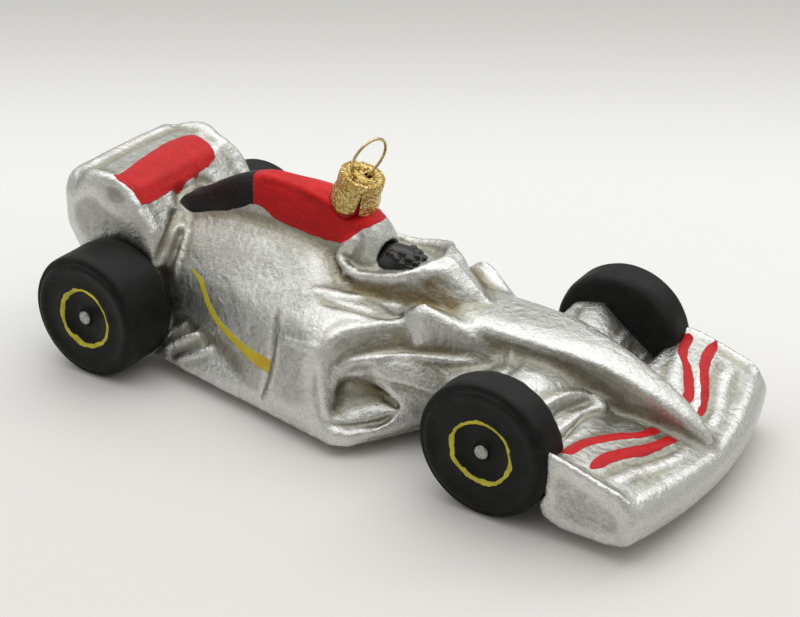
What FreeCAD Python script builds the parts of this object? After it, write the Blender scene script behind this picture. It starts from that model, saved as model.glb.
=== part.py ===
import FreeCAD, Part
import math
import os
import Sketcher

# A blown glass ornament in the form of an open wheel racing car, nose to +X, left to +Y,
# standing on its four wheels, with a crimped metal cap and a wire loop to hang it by.

V = FreeCAD.Vector
doc = FreeCAD.newDocument("glass_racing_car")

# Driving sizes, in millimetres, and angles, in degrees.
SIZES = {
    "wheelbase": 88.0,
    "rear_axle_back": 53.35,
    "body_half_width": 27.0,
    "body_height": 39.0,
    "front_wheel_radius": 12.8,
    "front_wheel_width": 8.7,
    "front_wheel_face": 28.96,
    "rear_wheel_radius": 12.5,
    "rear_wheel_width": 13.3,
    "rear_wheel_face": 30.07,
    "tyre_shoulder": 2.2,
    "tyre_step": 0.35,
    "rim_radius": 6.9,
    "dish_radius": 5.6,
    "dish_depth": 1.3,
    "hub_radius": 1.7,
    "hub_height": 0.9,
    "wing_reach": 67.8,
    "wing_tip_reach": 63.6,
    "wing_chord": 20.7,
    "wing_tip_chord": 18.2,
    "wing_half_width": 27.75,
    "wing_low": 2.5,
    "rear_wing_reach": 68.6,
    "rear_wing_length": 25.7,
    "rear_wing_half_width": 17.4,
    "rear_wing_height": 36.6,
    "rear_wing_low": 17.0,
    "rear_wing_edge": 2.4,
    "rear_wing_sink": 0.9,
    "rear_wing_rim": 3.6,
    "floor_low": 1.9,
    "floor_thickness": 3.4,
    "helmet_length": 11.6,
    "helmet_width": 10.0,
    "helmet_height": 10.6,
    "helmet_centre_height": 26.4,
    "mirror_length": 7.6,
    "mirror_width": 6.0,
    "mirror_low": 16.6,
    "mirror_height": 10.0,
    "mirror_edge": 2.4,
    "mirror_side": 9.8,
    "arm_length": 17.0,
    "arm_height": 11.0,
    "arm_centre_height": 12.2,
    "rear_arm_length": 19.0,
    "rear_arm_height": 15.0,
    "inlet_length": 15.0,
    "inlet_depth": 7.0,
    "inlet_height": 12.0,
    "inlet_turn": -50.0,
    "cap_lean": 18.5,
    "cap_seat_back": 10.45,
    "cap_seat_height": 38.1,
    "cap_top_radius": 4.3,
    "cap_skirt_radius": 4.85,
    "cap_height": 5.6,
    "cap_wall": 0.35,
    "cap_slit": 0.45,
    "cap_slit_height": 3.4,
    "cap_crimp": 0.45,
    "cap_slot_width": 0.9,
    "cap_slot_length": 1.9,
    "neck_radius": 3.55,
    "neck_wall": 0.6,
    "neck_clearance": 0.15,
    "neck_root": 3.0,
    "bore_depth": 9.5,
    "loop_radius": 4.2,
    "loop_bend": 1.2,
    "loop_wire": 0.55,
    "loop_rise": 3.6,
    "loop_twist": 11.0,
    "leg_apart": 1.7,
    "leg_length": 8.5,
    "overrun": 5.0,
}

sheet = doc.addObject("Spreadsheet::Sheet", "Sizes")
for row, (alias, number) in enumerate(SIZES.items(), start=1):
    sheet.set(f"A{row}", alias)
    sheet.set(f"B{row}", str(number))
    sheet.setAlias(f"B{row}", alias)
doc.recompute()


def size(alias):
    """A driving size, read from the sheet."""
    return float(sheet.get(alias))


wheelbase = size("wheelbase")
body_half_width = size("body_half_width")
body_height = size("body_height")
rear_axle_x = -size("rear_axle_back")
front_axle_x = rear_axle_x + wheelbase
pieces = []


def piece(label, thing):
    """Give a finished sub-part the name that its file gets."""
    thing.Label = label
    pieces.append(thing)
    return thing


def shape_feature(name, shape):
    """A document object that holds a shape made of curves."""
    thing = doc.addObject("Part::Feature", name)
    thing.Shape = shape
    thing.Placement = FreeCAD.Placement()
    return thing


def fuse(name, *things):
    """Several things as one solid."""
    thing = doc.addObject("Part::MultiFuse", name)
    thing.Shapes = list(things)
    thing.Refine = False
    return thing


def cut(name, base, *tools):
    """The base with the tools taken away, one after the other."""
    thing = base
    for number, tool in enumerate(tools, start=1):
        rest = thing
        thing = doc.addObject("Part::Cut", name if number == len(tools) else f"{name}_less_{number}")
        thing.Base = rest
        thing.Tool = tool
        thing.Refine = False
    return thing


def common(name, base, tool):
    """What the base and the tool share."""
    thing = doc.addObject("Part::Common", name)
    thing.Base = base
    thing.Tool = tool
    thing.Refine = False
    return thing


def mirrored(name, source):
    """The same thing on the other side of the middle plane."""
    thing = doc.addObject("Part::Mirroring", name)
    thing.Source = source
    thing.Normal = V(0, 1, 0)
    return thing


def ellipsoid(name, length, width, height, place, turn=0):
    """An ellipsoid whose three lengths are bound to the sheet."""
    thing = doc.addObject("Part::Ellipsoid", name)
    thing.setExpression("Radius2", f"({length}) / 2")
    thing.setExpression("Radius3", f"({width}) / 2")
    thing.setExpression("Radius1", f"({height}) / 2")
    thing.Placement = FreeCAD.Placement(place, FreeCAD.Rotation(V(0, 0, 1), turn))
    return thing


# Moulded bodies. Each is a loft through soft closed sections across the car. A section is
# either an arch, whose width falls towards its top, or drawn by the poles of its left side.

SECTION_POINTS = 16
SOFTNESS = 0.55


def soft(value):
    """A sine or cosine pushed towards a box."""
    return math.copysign(abs(value) ** SOFTNESS, value)


def closed_curve(points):
    """A smooth closed wire through points."""
    curve = Part.BSplineCurve()
    curve.interpolate(points, PeriodicFlag=True)
    return Part.Wire([curve.toShape()])


def arch_station(run, crest, x_share, half_share, low_share, high_share, taper_share):
    """An arch at a share of the run ahead of the rear axle. The crest keeps its taper high."""
    x = rear_axle_x + x_share * run
    half = half_share * body_half_width
    low = low_share * body_height
    high = high_share * body_height
    points = []
    for step in range(SECTION_POINTS):
        angle = 2 * math.pi * step / SECTION_POINTS - math.pi / 2
        up = (1 + soft(math.sin(angle))) / 2
        across = soft(math.cos(angle)) * (1 - taper_share * up ** crest)
        points.append(V(x, half * across, low + (high - low) * up))
    return closed_curve(points)


def drawn_side(run, x_share, half):
    """The poles of a section up its left side."""
    x = rear_axle_x + x_share * run
    return [V(x, y_share * body_half_width, z_share * body_height) for y_share, z_share in half]


def drawn_station(run, x_share, *half):
    """A soft section held by poles up its left side, the same on its right side."""
    left = drawn_side(run, x_share, half)
    right = [V(point.x, -point.y, point.z) for point in reversed(left[1:-1])]
    curve = Part.BSplineCurve()
    curve.buildFromPoles(right[-1:] + left + right[:-1], True, 3)
    return Part.Wire([curve.toShape()])


def drawn_half_station(run, x_share, *half):
    """The left side of a soft section, closed by a straight line up the middle plane."""
    left = drawn_side(run, x_share, half)
    curve = Part.BSplineCurve()
    curve.buildFromPoles(left, False, 3)
    return Part.Wire([curve.toShape(), Part.LineSegment(left[-1], left[0]).toShape()])


def lofted(stations):
    """A solid through the sections."""
    return Part.makeLoft(stations, True, False)


# Sketched bodies. Every corner of a sketch is bound to the sheet in both directions.

def outline(body, name, role, corners):
    """A closed sketch of straight lines on one of the body's own planes."""
    sketch = body.newObject("Sketcher::SketchObject", name)
    plane = [feature for feature in body.Origin.OriginFeatures if feature.Role == role][0]
    sketch.AttachmentSupport = [(plane, "")]
    sketch.MapMode = "FlatFace"
    places = [[float(sheet.evalExpression(text)) for text in corner] for corner in corners]
    count = len(places)
    for index in range(count):
        following = places[(index + 1) % count]
        sketch.addGeometry(Part.LineSegment(V(*places[index], 0), V(*following, 0)), False)
    for index in range(count):
        following = (index + 1) % count
        sketch.addConstraint(Sketcher.Constraint("Coincident", index, 2, following, 1))
    for index, corner in enumerate(corners):
        for kind, axis, text, place in zip(("DistanceX", "DistanceY"), (-2, -1), corner, places[index]):
            if text == "0":
                sketch.addConstraint(Sketcher.Constraint("PointOnObject", index, 1, axis))
            else:
                number = sketch.addConstraint(Sketcher.Constraint(kind, -1, 1, index, 1, place))
                sketch.setExpression(f"Constraints[{number}]", text)
    return sketch


def turned(body, name, sketch):
    """The sketch turned right round its own upright axis."""
    feature = body.newObject("PartDesign::Revolution", name)
    feature.Profile = sketch
    feature.ReferenceAxis = (sketch, ["V_Axis"])
    feature.Angle = 360
    return feature


def padded(body, name, sketch, length, midplane):
    """The sketch pushed out to a length, or half of it to each side."""
    feature = body.newObject("PartDesign::Pad", name)
    feature.Profile = sketch
    feature.setExpression("Length", length)
    feature.Midplane = midplane
    return feature


def rounded(body, name, base, radius, chosen):
    """A fillet on the edges that the test picks."""
    doc.recompute()
    edges = [f"Edge{n}" for n, edge in enumerate(base.Shape.Edges, start=1) if chosen(edge)]
    feature = body.newObject("PartDesign::Fillet", name)
    feature.Base = (base, edges)
    feature.setExpression("Radius", radius)
    return feature


# Wheels. Each is a moulded drum with a rounded shoulder, a step round its face, a dished
# middle and a hub. It is one with the body and doesn't turn.

def wheel(label, end, axle_x, side):
    """A wheel with its outer face at its distance from the middle plane."""
    body = doc.addObject("PartDesign::Body", label)
    radius = f"Sizes.{end}_wheel_radius"
    width = f"Sizes.{end}_wheel_width"
    corners = (
        ("0", "Sizes.dish_depth - Sizes.hub_height"),
        ("Sizes.hub_radius", "Sizes.dish_depth - Sizes.hub_height"),
        ("Sizes.hub_radius", "Sizes.dish_depth"),
        ("Sizes.dish_radius", "Sizes.dish_depth"),
        ("Sizes.rim_radius", "Sizes.tyre_step"),
        (f"{radius} - 1.5 * Sizes.tyre_shoulder", "Sizes.tyre_step"),
        (f"{radius} - Sizes.tyre_shoulder - Sizes.tyre_step", "0"),
        (radius, "0"),
        (radius, width),
        ("0", width),
    )
    drum = turned(body, label + "_drum", outline(body, label + "_profile", "XY_Plane", corners))
    tread = size(f"{end}_wheel_radius")
    rounded(body, label + "_shoulder", drum, "Sizes.tyre_shoulder * 0.8",
            lambda edge: hasattr(edge.Curve, "Radius") and abs(edge.Curve.Radius - tread) < 0.001)
    turn = 180 if side > 0 else 0
    body.Placement = FreeCAD.Placement(V(axle_x, side * size(f"{end}_wheel_face"), tread),
                                       FreeCAD.Rotation(V(0, 0, 1), turn))
    return piece(label, body)


front_wheels = [wheel("front_wheel_left", "front", front_axle_x, 1),
                wheel("front_wheel_right", "front", front_axle_x, -1)]
rear_wheels = [wheel("rear_wheel_left", "rear", rear_axle_x, 1),
               wheel("rear_wheel_right", "rear", rear_axle_x, -1)]


# Floor: a flat tray under the tub and the side pods, widest at their front corners.

FLOOR_SHARES = (
    (0.045, 0.574), (0.086, 0.707), (0.227, 0.759), (0.368, 0.867),
    (0.637, 1.015), (0.670, 0.963), (0.761, 0.481), (0.807, 0.315),
)
floor_body = doc.addObject("PartDesign::Body", "floor_body")
floor_corners = []
for side, shares in ((1, FLOOR_SHARES), (-1, reversed(FLOOR_SHARES))):
    for x_share, y_share in shares:
        floor_corners.append((f"{x_share} * Sizes.wheelbase - Sizes.rear_axle_back",
                              f"{side * y_share} * Sizes.body_half_width"))
padded(floor_body, "floor_slab", outline(floor_body, "floor_outline", "XY_Plane", floor_corners),
       "Sizes.floor_thickness", False)
floor_body.setExpression("Placement.Base.z", "Sizes.floor_low")
floor = piece("floor", cut("floor", floor_body, *rear_wheels))


# Helmet: the driver's head, moulded as a plain dome in the cockpit.

HELMET_SHARE = 0.602
helmet = ellipsoid("helmet", "Sizes.helmet_length", "Sizes.helmet_width", "Sizes.helmet_height",
                   V(rear_axle_x + HELMET_SHARE * wheelbase, 0, size("helmet_centre_height")))
piece("helmet", helmet)


# Tub: nose and cockpit in one, with a raised rim that comes to a point ahead of the driver.
# Rows: place along the run, then the poles of the left side from the bottom to the top. The
# tub's run ends at the front of the wing, so that the nose stays behind the wing's edge.

TUB_SHARES = (
    (0.3318, (0, 0.062), (0.287, 0.062), (0.333, 0.092), (0.319, 0.306), (0.326, 0.518),
     (0.370, 0.587), (0.319, 0.614), (0.170, 0.633), (0, 0.636)),
    (0.4089, (0, 0.062), (0.293, 0.062), (0.341, 0.092), (0.325, 0.308), (0.332, 0.523),
     (0.378, 0.592), (0.325, 0.619), (0.174, 0.638), (0, 0.641)),
    (0.4834, (0, 0.062), (0.293, 0.062), (0.341, 0.092), (0.319, 0.308), (0.326, 0.523),
     (0.370, 0.592), (0.319, 0.619), (0.170, 0.638), (0, 0.641)),
    (0.5414, (0, 0.067), (0.287, 0.067), (0.333, 0.097), (0.287, 0.310), (0.293, 0.521),
     (0.333, 0.590), (0.287, 0.617), (0.153, 0.633), (0, 0.636)),
    (0.5911, (0, 0.077), (0.255, 0.077), (0.296, 0.108), (0.248, 0.316), (0.254, 0.521),
     (0.289, 0.590), (0.248, 0.617), (0.133, 0.631), (0, 0.633)),
    (0.6408, (0, 0.087), (0.229, 0.087), (0.267, 0.118), (0.226, 0.322), (0.231, 0.522),
     (0.263, 0.591), (0.226, 0.618), (0.121, 0.629), (0, 0.632)),
    (0.6864, (0, 0.097), (0.210, 0.097), (0.244, 0.128), (0.217, 0.327), (0.222, 0.521),
     (0.252, 0.590), (0.217, 0.617), (0.116, 0.628), (0, 0.631)),
    (0.7291, (0, 0.108), (0.197, 0.108), (0.230, 0.138), (0.207, 0.329), (0.212, 0.513),
     (0.241, 0.582), (0.207, 0.609), (0.111, 0.621), (0, 0.623)),
    (0.7693, (0, 0.113), (0.178, 0.113), (0.207, 0.144), (0.175, 0.324), (0.179, 0.495),
     (0.204, 0.564), (0.175, 0.591), (0.094, 0.603), (0, 0.605)),
    (0.8119, (0, 0.123), (0.153, 0.123), (0.178, 0.154), (0.140, 0.317), (0.143, 0.467),
     (0.163, 0.536), (0.140, 0.563), (0.075, 0.574), (0, 0.577)),
    (0.8480, (0, 0.133), (0.134, 0.133), (0.156, 0.164), (0.121, 0.306), (0.124, 0.431),
     (0.141, 0.500), (0.121, 0.527), (0.065, 0.538), (0, 0.541)),
    (0.8853, (0, 0.138), (0.115, 0.138), (0.133, 0.169), (0.102, 0.288), (0.104, 0.385),
     (0.119, 0.454), (0.102, 0.481), (0.055, 0.490), (0, 0.492)),
    (0.9184, (0, 0.144), (0.096, 0.144), (0.111, 0.174), (0.083, 0.269), (0.085, 0.348),
     (0.096, 0.405), (0.083, 0.432), (0.044, 0.438), (0, 0.441)),
    (0.9474, (0, 0.149), (0.076, 0.149), (0.089, 0.179), (0.064, 0.248), (0.065, 0.310),
     (0.074, 0.351), (0.064, 0.378), (0.034, 0.382), (0, 0.385)),
    (0.9747, (0, 0.164), (0.048, 0.164), (0.056, 0.195), (0.038, 0.222), (0.039, 0.258),
     (0.044, 0.274), (0.038, 0.301), (0.020, 0.300), (0, 0.303)),
)
RIM_SHARES = (
    (0.4585, (0, 0.410), (0.307, 0.410), (0.348, 0.441), (0.317, 0.535), (0.307, 0.656),
     (0.341, 0.695), (0.313, 0.721), (0.170, 0.723), (0, 0.723)),
    (0.5267, (0, 0.410), (0.323, 0.410), (0.366, 0.441), (0.334, 0.533), (0.323, 0.651),
     (0.359, 0.690), (0.331, 0.715), (0.180, 0.718), (0, 0.718)),
    (0.5835, (0, 0.410), (0.327, 0.410), (0.370, 0.441), (0.338, 0.534), (0.327, 0.654),
     (0.363, 0.692), (0.334, 0.718), (0.181, 0.721), (0, 0.721)),
    (0.6290, (0, 0.410), (0.310, 0.410), (0.351, 0.441), (0.320, 0.542), (0.310, 0.672),
     (0.344, 0.710), (0.317, 0.736), (0.172, 0.738), (0, 0.738)),
    (0.6688, (0, 0.410), (0.277, 0.410), (0.314, 0.441), (0.286, 0.551), (0.277, 0.695),
     (0.307, 0.733), (0.283, 0.759), (0.154, 0.762), (0, 0.762)),
    (0.7017, (0, 0.410), (0.220, 0.410), (0.249, 0.441), (0.227, 0.561), (0.220, 0.721),
     (0.244, 0.759), (0.225, 0.785), (0.122, 0.787), (0, 0.787)),
    (0.7267, (0, 0.410), (0.153, 0.410), (0.174, 0.441), (0.158, 0.568), (0.153, 0.738),
     (0.170, 0.777), (0.157, 0.803), (0.085, 0.805), (0, 0.805)),
    (0.7494, (0, 0.410), (0.117, 0.410), (0.132, 0.441), (0.121, 0.553), (0.117, 0.700),
     (0.130, 0.738), (0.119, 0.764), (0.065, 0.767), (0, 0.767)),
    (0.7767, (0, 0.410), (0.077, 0.410), (0.087, 0.441), (0.079, 0.531), (0.077, 0.646),
     (0.085, 0.685), (0.078, 0.710), (0.043, 0.713), (0, 0.713)),
    (0.8017, (0, 0.410), (0.043, 0.410), (0.049, 0.441), (0.045, 0.512), (0.043, 0.597),
     (0.048, 0.636), (0.044, 0.662), (0.024, 0.664), (0, 0.664)),
    (0.8222, (0, 0.410), (0.017, 0.410), (0.019, 0.441), (0.017, 0.494), (0.017, 0.554),
     (0.019, 0.592), (0.017, 0.618), (0.009, 0.621), (0, 0.621)),
)
COCKPIT_SHARES = (
    (0.4744, (0, 0.569), (0.187, 0.569), (0.245, 0.592), (0.267, 0.631), (0.267, 0.769),
     (0.267, 0.872), (0.240, 0.949), (0.133, 0.974), (0, 0.974)),
    (0.5381, (0, 0.554), (0.205, 0.554), (0.269, 0.577), (0.293, 0.615), (0.293, 0.769),
     (0.293, 0.872), (0.263, 0.949), (0.146, 0.974), (0, 0.974)),
    (0.5949, (0, 0.554), (0.207, 0.554), (0.273, 0.577), (0.296, 0.615), (0.296, 0.769),
     (0.296, 0.872), (0.267, 0.949), (0.148, 0.974), (0, 0.974)),
    (0.6403, (0, 0.569), (0.192, 0.569), (0.252, 0.592), (0.274, 0.631), (0.274, 0.769),
     (0.274, 0.872), (0.247, 0.949), (0.137, 0.974), (0, 0.974)),
    (0.6744, (0, 0.600), (0.156, 0.600), (0.204, 0.623), (0.222, 0.662), (0.222, 0.769),
     (0.222, 0.872), (0.200, 0.949), (0.111, 0.974), (0, 0.974)),
    (0.7040, (0, 0.651), (0.093, 0.651), (0.123, 0.674), (0.133, 0.713), (0.133, 0.769),
     (0.133, 0.872), (0.120, 0.949), (0.067, 0.974), (0, 0.974)),
    (0.7153, (0, 0.692), (0.036, 0.692), (0.048, 0.715), (0.052, 0.754), (0.052, 0.769),
     (0.052, 0.872), (0.047, 0.949), (0.026, 0.974), (0, 0.974)),
)
front_run = size("wing_reach") + size("rear_axle_back")
tub_outer = shape_feature("tub_outer", lofted([drawn_station(front_run, *row) for row in TUB_SHARES]))
tub_rim = shape_feature("tub_rim", lofted([drawn_station(wheelbase, *row) for row in RIM_SHARES]))
cockpit = shape_feature("cockpit", lofted([drawn_station(wheelbase, *row) for row in COCKPIT_SHARES]))
tub_solid = fuse("tub_solid", tub_outer, tub_rim)


# Neck: the open glass pipe that the ornament was blown through. Its bore runs on into the
# cover. The neck, cap and loop share a frame that stands on the cover and leans forward.

cap_frame = FreeCAD.Placement(V(-size("cap_seat_back"), 0, size("cap_seat_height")),
                              FreeCAD.Rotation(V(0, 1, 0), size("cap_lean")))
loop_frame = cap_frame * FreeCAD.Placement(V(0, 0, 0), FreeCAD.Rotation(V(0, 0, 1), -size("loop_twist")))
NECK_TOP = "Sizes.cap_height - Sizes.cap_wall - Sizes.neck_clearance"


def upright(name, radius, height, start):
    """A cylinder along the upright axis of the cap's frame."""
    thing = doc.addObject("Part::Cylinder", name)
    thing.setExpression("Radius", radius)
    thing.setExpression("Height", height)
    thing.Placement = cap_frame * FreeCAD.Placement(V(0, 0, start), FreeCAD.Rotation())
    return thing


neck_plug = upright("neck_plug", "Sizes.neck_radius", f"Sizes.neck_root + {NECK_TOP}", -size("neck_root"))
bore = upright("bore", "Sizes.neck_radius - Sizes.neck_wall",
               f"Sizes.bore_depth + {NECK_TOP} + Sizes.overrun", -size("bore_depth"))
piece("neck", cut("neck", neck_plug, bore))


# Engine cover: the tall spine behind the driver, highest behind the neck, falling to the tail.
# Rows: place along the wheelbase, half width, low, high, taper.

COVER_CREST = 4.0
COVER_SHARES = (
    (0.591, 0.220, 0.06, 0.770, 0.30),
    (0.560, 0.260, 0.06, 0.880, 0.42),
    (0.540, 0.270, 0.06, 0.925, 0.45),
    (0.489, 0.270, 0.06, 0.965, 0.48),
    (0.432, 0.265, 0.06, 1.000, 0.50),
    (0.341, 0.250, 0.06, 0.995, 0.52),
    (0.250, 0.235, 0.06, 0.985, 0.55),
    (0.193, 0.225, 0.07, 0.945, 0.55),
    (0.102, 0.210, 0.08, 0.830, 0.50),
    (0.023, 0.190, 0.10, 0.695, 0.45),
    (-0.011, 0.165, 0.14, 0.635, 0.40),
)
cover_outer = shape_feature("cover_outer",
                            lofted([arch_station(wheelbase, COVER_CREST, *row) for row in COVER_SHARES]))
piece("engine_cover", cut("engine_cover", cover_outer, neck_plug, bore, helmet, floor_body))
piece("tub", cut("tub", tub_solid, cockpit, cover_outer, helmet, floor_body))


# Side pods: broad shoulders that slope out from the cover, with a scooped inlet in the front.
# Rows: place along the wheelbase, then the poles of the left side from the bottom to the top.

POD_SHARES = (
    (0.0540, (0, 0.128), (0.426, 0.128), (0.489, 0.205), (0.504, 0.308), (0.489, 0.423),
     (0.452, 0.513), (0.341, 0.577), (0.222, 0.641), (0, 0.705)),
    (0.1063, (0, 0.087), (0.519, 0.087), (0.563, 0.179), (0.563, 0.295), (0.541, 0.415),
     (0.481, 0.513), (0.370, 0.600), (0.230, 0.692), (0, 0.782)),
    (0.1744, (0, 0.067), (0.615, 0.067), (0.630, 0.154), (0.615, 0.282), (0.589, 0.410),
     (0.526, 0.523), (0.415, 0.615), (0.252, 0.728), (0, 0.821)),
    (0.2653, (0, 0.056), (0.719, 0.056), (0.733, 0.128), (0.707, 0.269), (0.674, 0.410),
     (0.600, 0.533), (0.459, 0.636), (0.274, 0.754), (0, 0.836)),
    (0.3676, (0, 0.056), (0.830, 0.056), (0.844, 0.128), (0.811, 0.269), (0.767, 0.415),
     (0.674, 0.544), (0.504, 0.646), (0.296, 0.759), (0, 0.836)),
    (0.4642, (0, 0.056), (0.926, 0.056), (0.941, 0.128), (0.889, 0.269), (0.837, 0.426),
     (0.733, 0.546), (0.541, 0.641), (0.319, 0.728), (0, 0.795)),
    (0.5324, (0, 0.056), (0.978, 0.056), (0.989, 0.128), (0.930, 0.282), (0.885, 0.451),
     (0.793, 0.554), (0.593, 0.623), (0.393, 0.659), (0, 0.641)),
    (0.5892, (0, 0.056), (0.996, 0.056), (1.007, 0.123), (0.941, 0.282), (0.907, 0.456),
     (0.807, 0.549), (0.615, 0.615), (0.430, 0.646), (0, 0.564)),
    (0.6403, (0, 0.056), (0.978, 0.056), (0.985, 0.118), (0.889, 0.244), (0.800, 0.385),
     (0.741, 0.503), (0.607, 0.595), (0.444, 0.631), (0, 0.526)),
    (0.6972, (0, 0.062), (0.874, 0.062), (0.904, 0.113), (0.793, 0.221), (0.681, 0.338),
     (0.593, 0.456), (0.504, 0.544), (0.393, 0.585), (0, 0.474)),
    (0.7597, (0, 0.077), (0.541, 0.077), (0.615, 0.128), (0.607, 0.221), (0.600, 0.323),
     (0.541, 0.400), (0.444, 0.467), (0.326, 0.508), (0, 0.423)),
    (0.8222, (0, 0.115), (0.311, 0.115), (0.385, 0.179), (0.467, 0.256), (0.533, 0.323),
     (0.481, 0.374), (0.370, 0.421), (0.259, 0.446), (0, 0.385)),
    (0.8676, (0, 0.205), (0.185, 0.205), (0.244, 0.246), (0.319, 0.287), (0.393, 0.328),
     (0.356, 0.359), (0.281, 0.385), (0.185, 0.400), (0, 0.359)),
)
INLET_SHARES = (0.680, 0.820, 0.270)
pods_outer = shape_feature("pods_outer", lofted([drawn_station(wheelbase, *row) for row in POD_SHARES]))
pod_half = shape_feature("pod_half", lofted([drawn_half_station(wheelbase, *row) for row in POD_SHARES]))
inlet = ellipsoid("inlet", "Sizes.inlet_length", "Sizes.inlet_depth", "Sizes.inlet_height",
                  V(rear_axle_x + INLET_SHARES[0] * wheelbase, INLET_SHARES[1] * body_half_width,
                    INLET_SHARES[2] * body_height), size("inlet_turn"))
pod_left = piece("side_pod_left", cut("side_pod_left", pod_half, cover_outer, tub_solid, floor_body,
                                      inlet, rear_wheels[0]))
piece("side_pod_right", mirrored("side_pod_right", pod_left))


# Mirrors: a rounded lump on each shoulder.

MIRROR_SHARE = 0.745
mirror_blank = doc.addObject("PartDesign::Body", "mirror_blank")
mirror_x = f"{MIRROR_SHARE} * Sizes.wheelbase - Sizes.rear_axle_back"
mirror_corners = [(f"{mirror_x} {x_sign} Sizes.mirror_length / 2",
                   f"Sizes.mirror_side {y_sign} Sizes.mirror_width / 2")
                  for x_sign, y_sign in (("-", "-"), ("+", "-"), ("+", "+"), ("-", "+"))]
mirror_outline = outline(mirror_blank, "mirror_outline", "XY_Plane", mirror_corners)
mirror_block = padded(mirror_blank, "mirror_block", mirror_outline, "Sizes.mirror_height", False)
rounded(mirror_blank, "mirror_round", mirror_block, "Sizes.mirror_edge", lambda edge: True)
mirror_blank.setExpression("Placement.Base.z", "Sizes.mirror_low")
mirror_left = piece("mirror_left", cut("mirror_left", mirror_blank, tub_outer, tub_rim, pods_outer))
piece("mirror_right", mirrored("mirror_right", mirror_left))


# Suspension: soft webs moulded between the nose and the front wheels, and across the rear axle.

left_half = doc.addObject("Part::Box", "left_half")
left_half.setExpression("Length", "3 * Sizes.wheelbase")
left_half.setExpression("Width", "2 * Sizes.body_half_width")
left_half.setExpression("Height", "2 * Sizes.body_height")
left_half.setExpression("Placement.Base.x", "-1.5 * Sizes.wheelbase")
arm_blank = ellipsoid("arm_blank", "2 * (Sizes.front_wheel_face - 2 * Sizes.dish_depth)", "Sizes.arm_length",
                      "Sizes.arm_height", V(front_axle_x, 0, size("arm_centre_height")), -90)
arm_half = common("arm_half", arm_blank, left_half)
arm_left = piece("front_suspension_left", cut("front_suspension_left", arm_half, tub_outer, front_wheels[0]))
piece("front_suspension_right", mirrored("front_suspension_right", arm_left))
rear_arm_blank = ellipsoid("rear_arm_blank", "2 * (Sizes.rear_wheel_face - 2 * Sizes.dish_depth)",
                           "Sizes.rear_arm_length", "Sizes.rear_arm_height",
                           V(rear_axle_x, 0, size("rear_wheel_radius")), -90)
rear_arm_half = cut("rear_arm_half", common("rear_arm_side", rear_arm_blank, left_half), cover_outer,
                    pods_outer, floor_body, rear_wheels[0])
piece("rear_axle_fairing", fuse("rear_axle_fairing", rear_arm_half,
                                mirrored("rear_arm_mirror", rear_arm_half)))


# Rear wing: a puffy box with a soft rim round its slightly sunk top.

REAR_WING_SHARES = (
    (0.00, 0.36), (0.00, 0.93), (0.45, 1.00), (0.63, 0.92),
    (0.875, 0.51), (0.915, 0.15), (0.73, 0.00), (0.16, 0.00),
)
SINK_SHARES = (
    (0.15, 1.30), (0.15, 0.975), (0.45, 1.00), (0.63, 0.92),
    (0.875, 0.51), (1.30, 0.51), (1.30, 1.30),
)


def wing_corner(x_share, z_share, drop):
    """A corner of the rear wing's side view."""
    return (f"{x_share} * Sizes.rear_wing_length - Sizes.rear_wing_reach",
            f"Sizes.rear_wing_low + {z_share} * (Sizes.rear_wing_height - Sizes.rear_wing_low) - {drop}")


rear_wing_body = doc.addObject("PartDesign::Body", "rear_wing_body")
side_view = outline(rear_wing_body, "rear_wing_side", "XZ_Plane",
                    [wing_corner(*shares, "0") for shares in REAR_WING_SHARES])
rear_wing_block = padded(rear_wing_body, "rear_wing_block", side_view, "2 * Sizes.rear_wing_half_width", True)
rear_wing_round = rounded(rear_wing_body, "rear_wing_round", rear_wing_block, "Sizes.rear_wing_edge",
                          lambda edge: True)
sink_view = outline(rear_wing_body, "sink_side", "XZ_Plane",
                    [wing_corner(*shares, "Sizes.rear_wing_sink") for shares in SINK_SHARES])
sink = rear_wing_body.newObject("PartDesign::Pocket", "rear_wing_top")
sink.Profile = sink_view
sink.Midplane = True
sink.setExpression("Length", "2 * (Sizes.rear_wing_half_width - Sizes.rear_wing_rim)")
piece("rear_wing", cut("rear_wing", rear_wing_body, rear_arm_blank, cover_outer, pods_outer, *rear_wheels))


# Front wing: a broad wedge under the nose, its leading edge swept back to the end plates.
# Rows: place across, then the height of the rear and front edges.

WING_SHARES = (
    (-1.00, 0.430, 0.295), (-0.80, 0.415, 0.280), (-0.53, 0.390, 0.268),
    (-0.27, 0.365, 0.260), (0.00, 0.355, 0.255), (0.27, 0.365, 0.260),
    (0.53, 0.390, 0.268), (0.80, 0.415, 0.280), (1.00, 0.430, 0.295),
)


def wing_station(y_share, rear_share, front_share):
    """A section along the car at a share of the front wing's half width."""
    sweep = y_share ** 2
    reach = size("wing_reach") + (size("wing_tip_reach") - size("wing_reach")) * sweep
    chord = size("wing_chord") + (size("wing_tip_chord") - size("wing_chord")) * sweep
    low = size("wing_low")
    points = []
    for step in range(SECTION_POINTS):
        angle = 2 * math.pi * step / SECTION_POINTS
        along = (1 + soft(math.cos(angle))) / 2
        up = (1 + soft(math.sin(angle))) / 2
        high = body_height * (rear_share + (front_share - rear_share) * along)
        points.append(V(reach - chord * (1 - along), y_share * size("wing_half_width"),
                        low + (high - low) * up))
    return closed_curve(points)


wing_outer = shape_feature("wing_outer", lofted([wing_station(*row) for row in WING_SHARES]))
piece("front_wing", cut("front_wing", wing_outer, tub_outer, arm_blank, *front_wheels))


# Cap: a thin stamped crown over the neck, crimped round its top, with four slits in its skirt
# and two slots for the legs of the loop.

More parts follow.
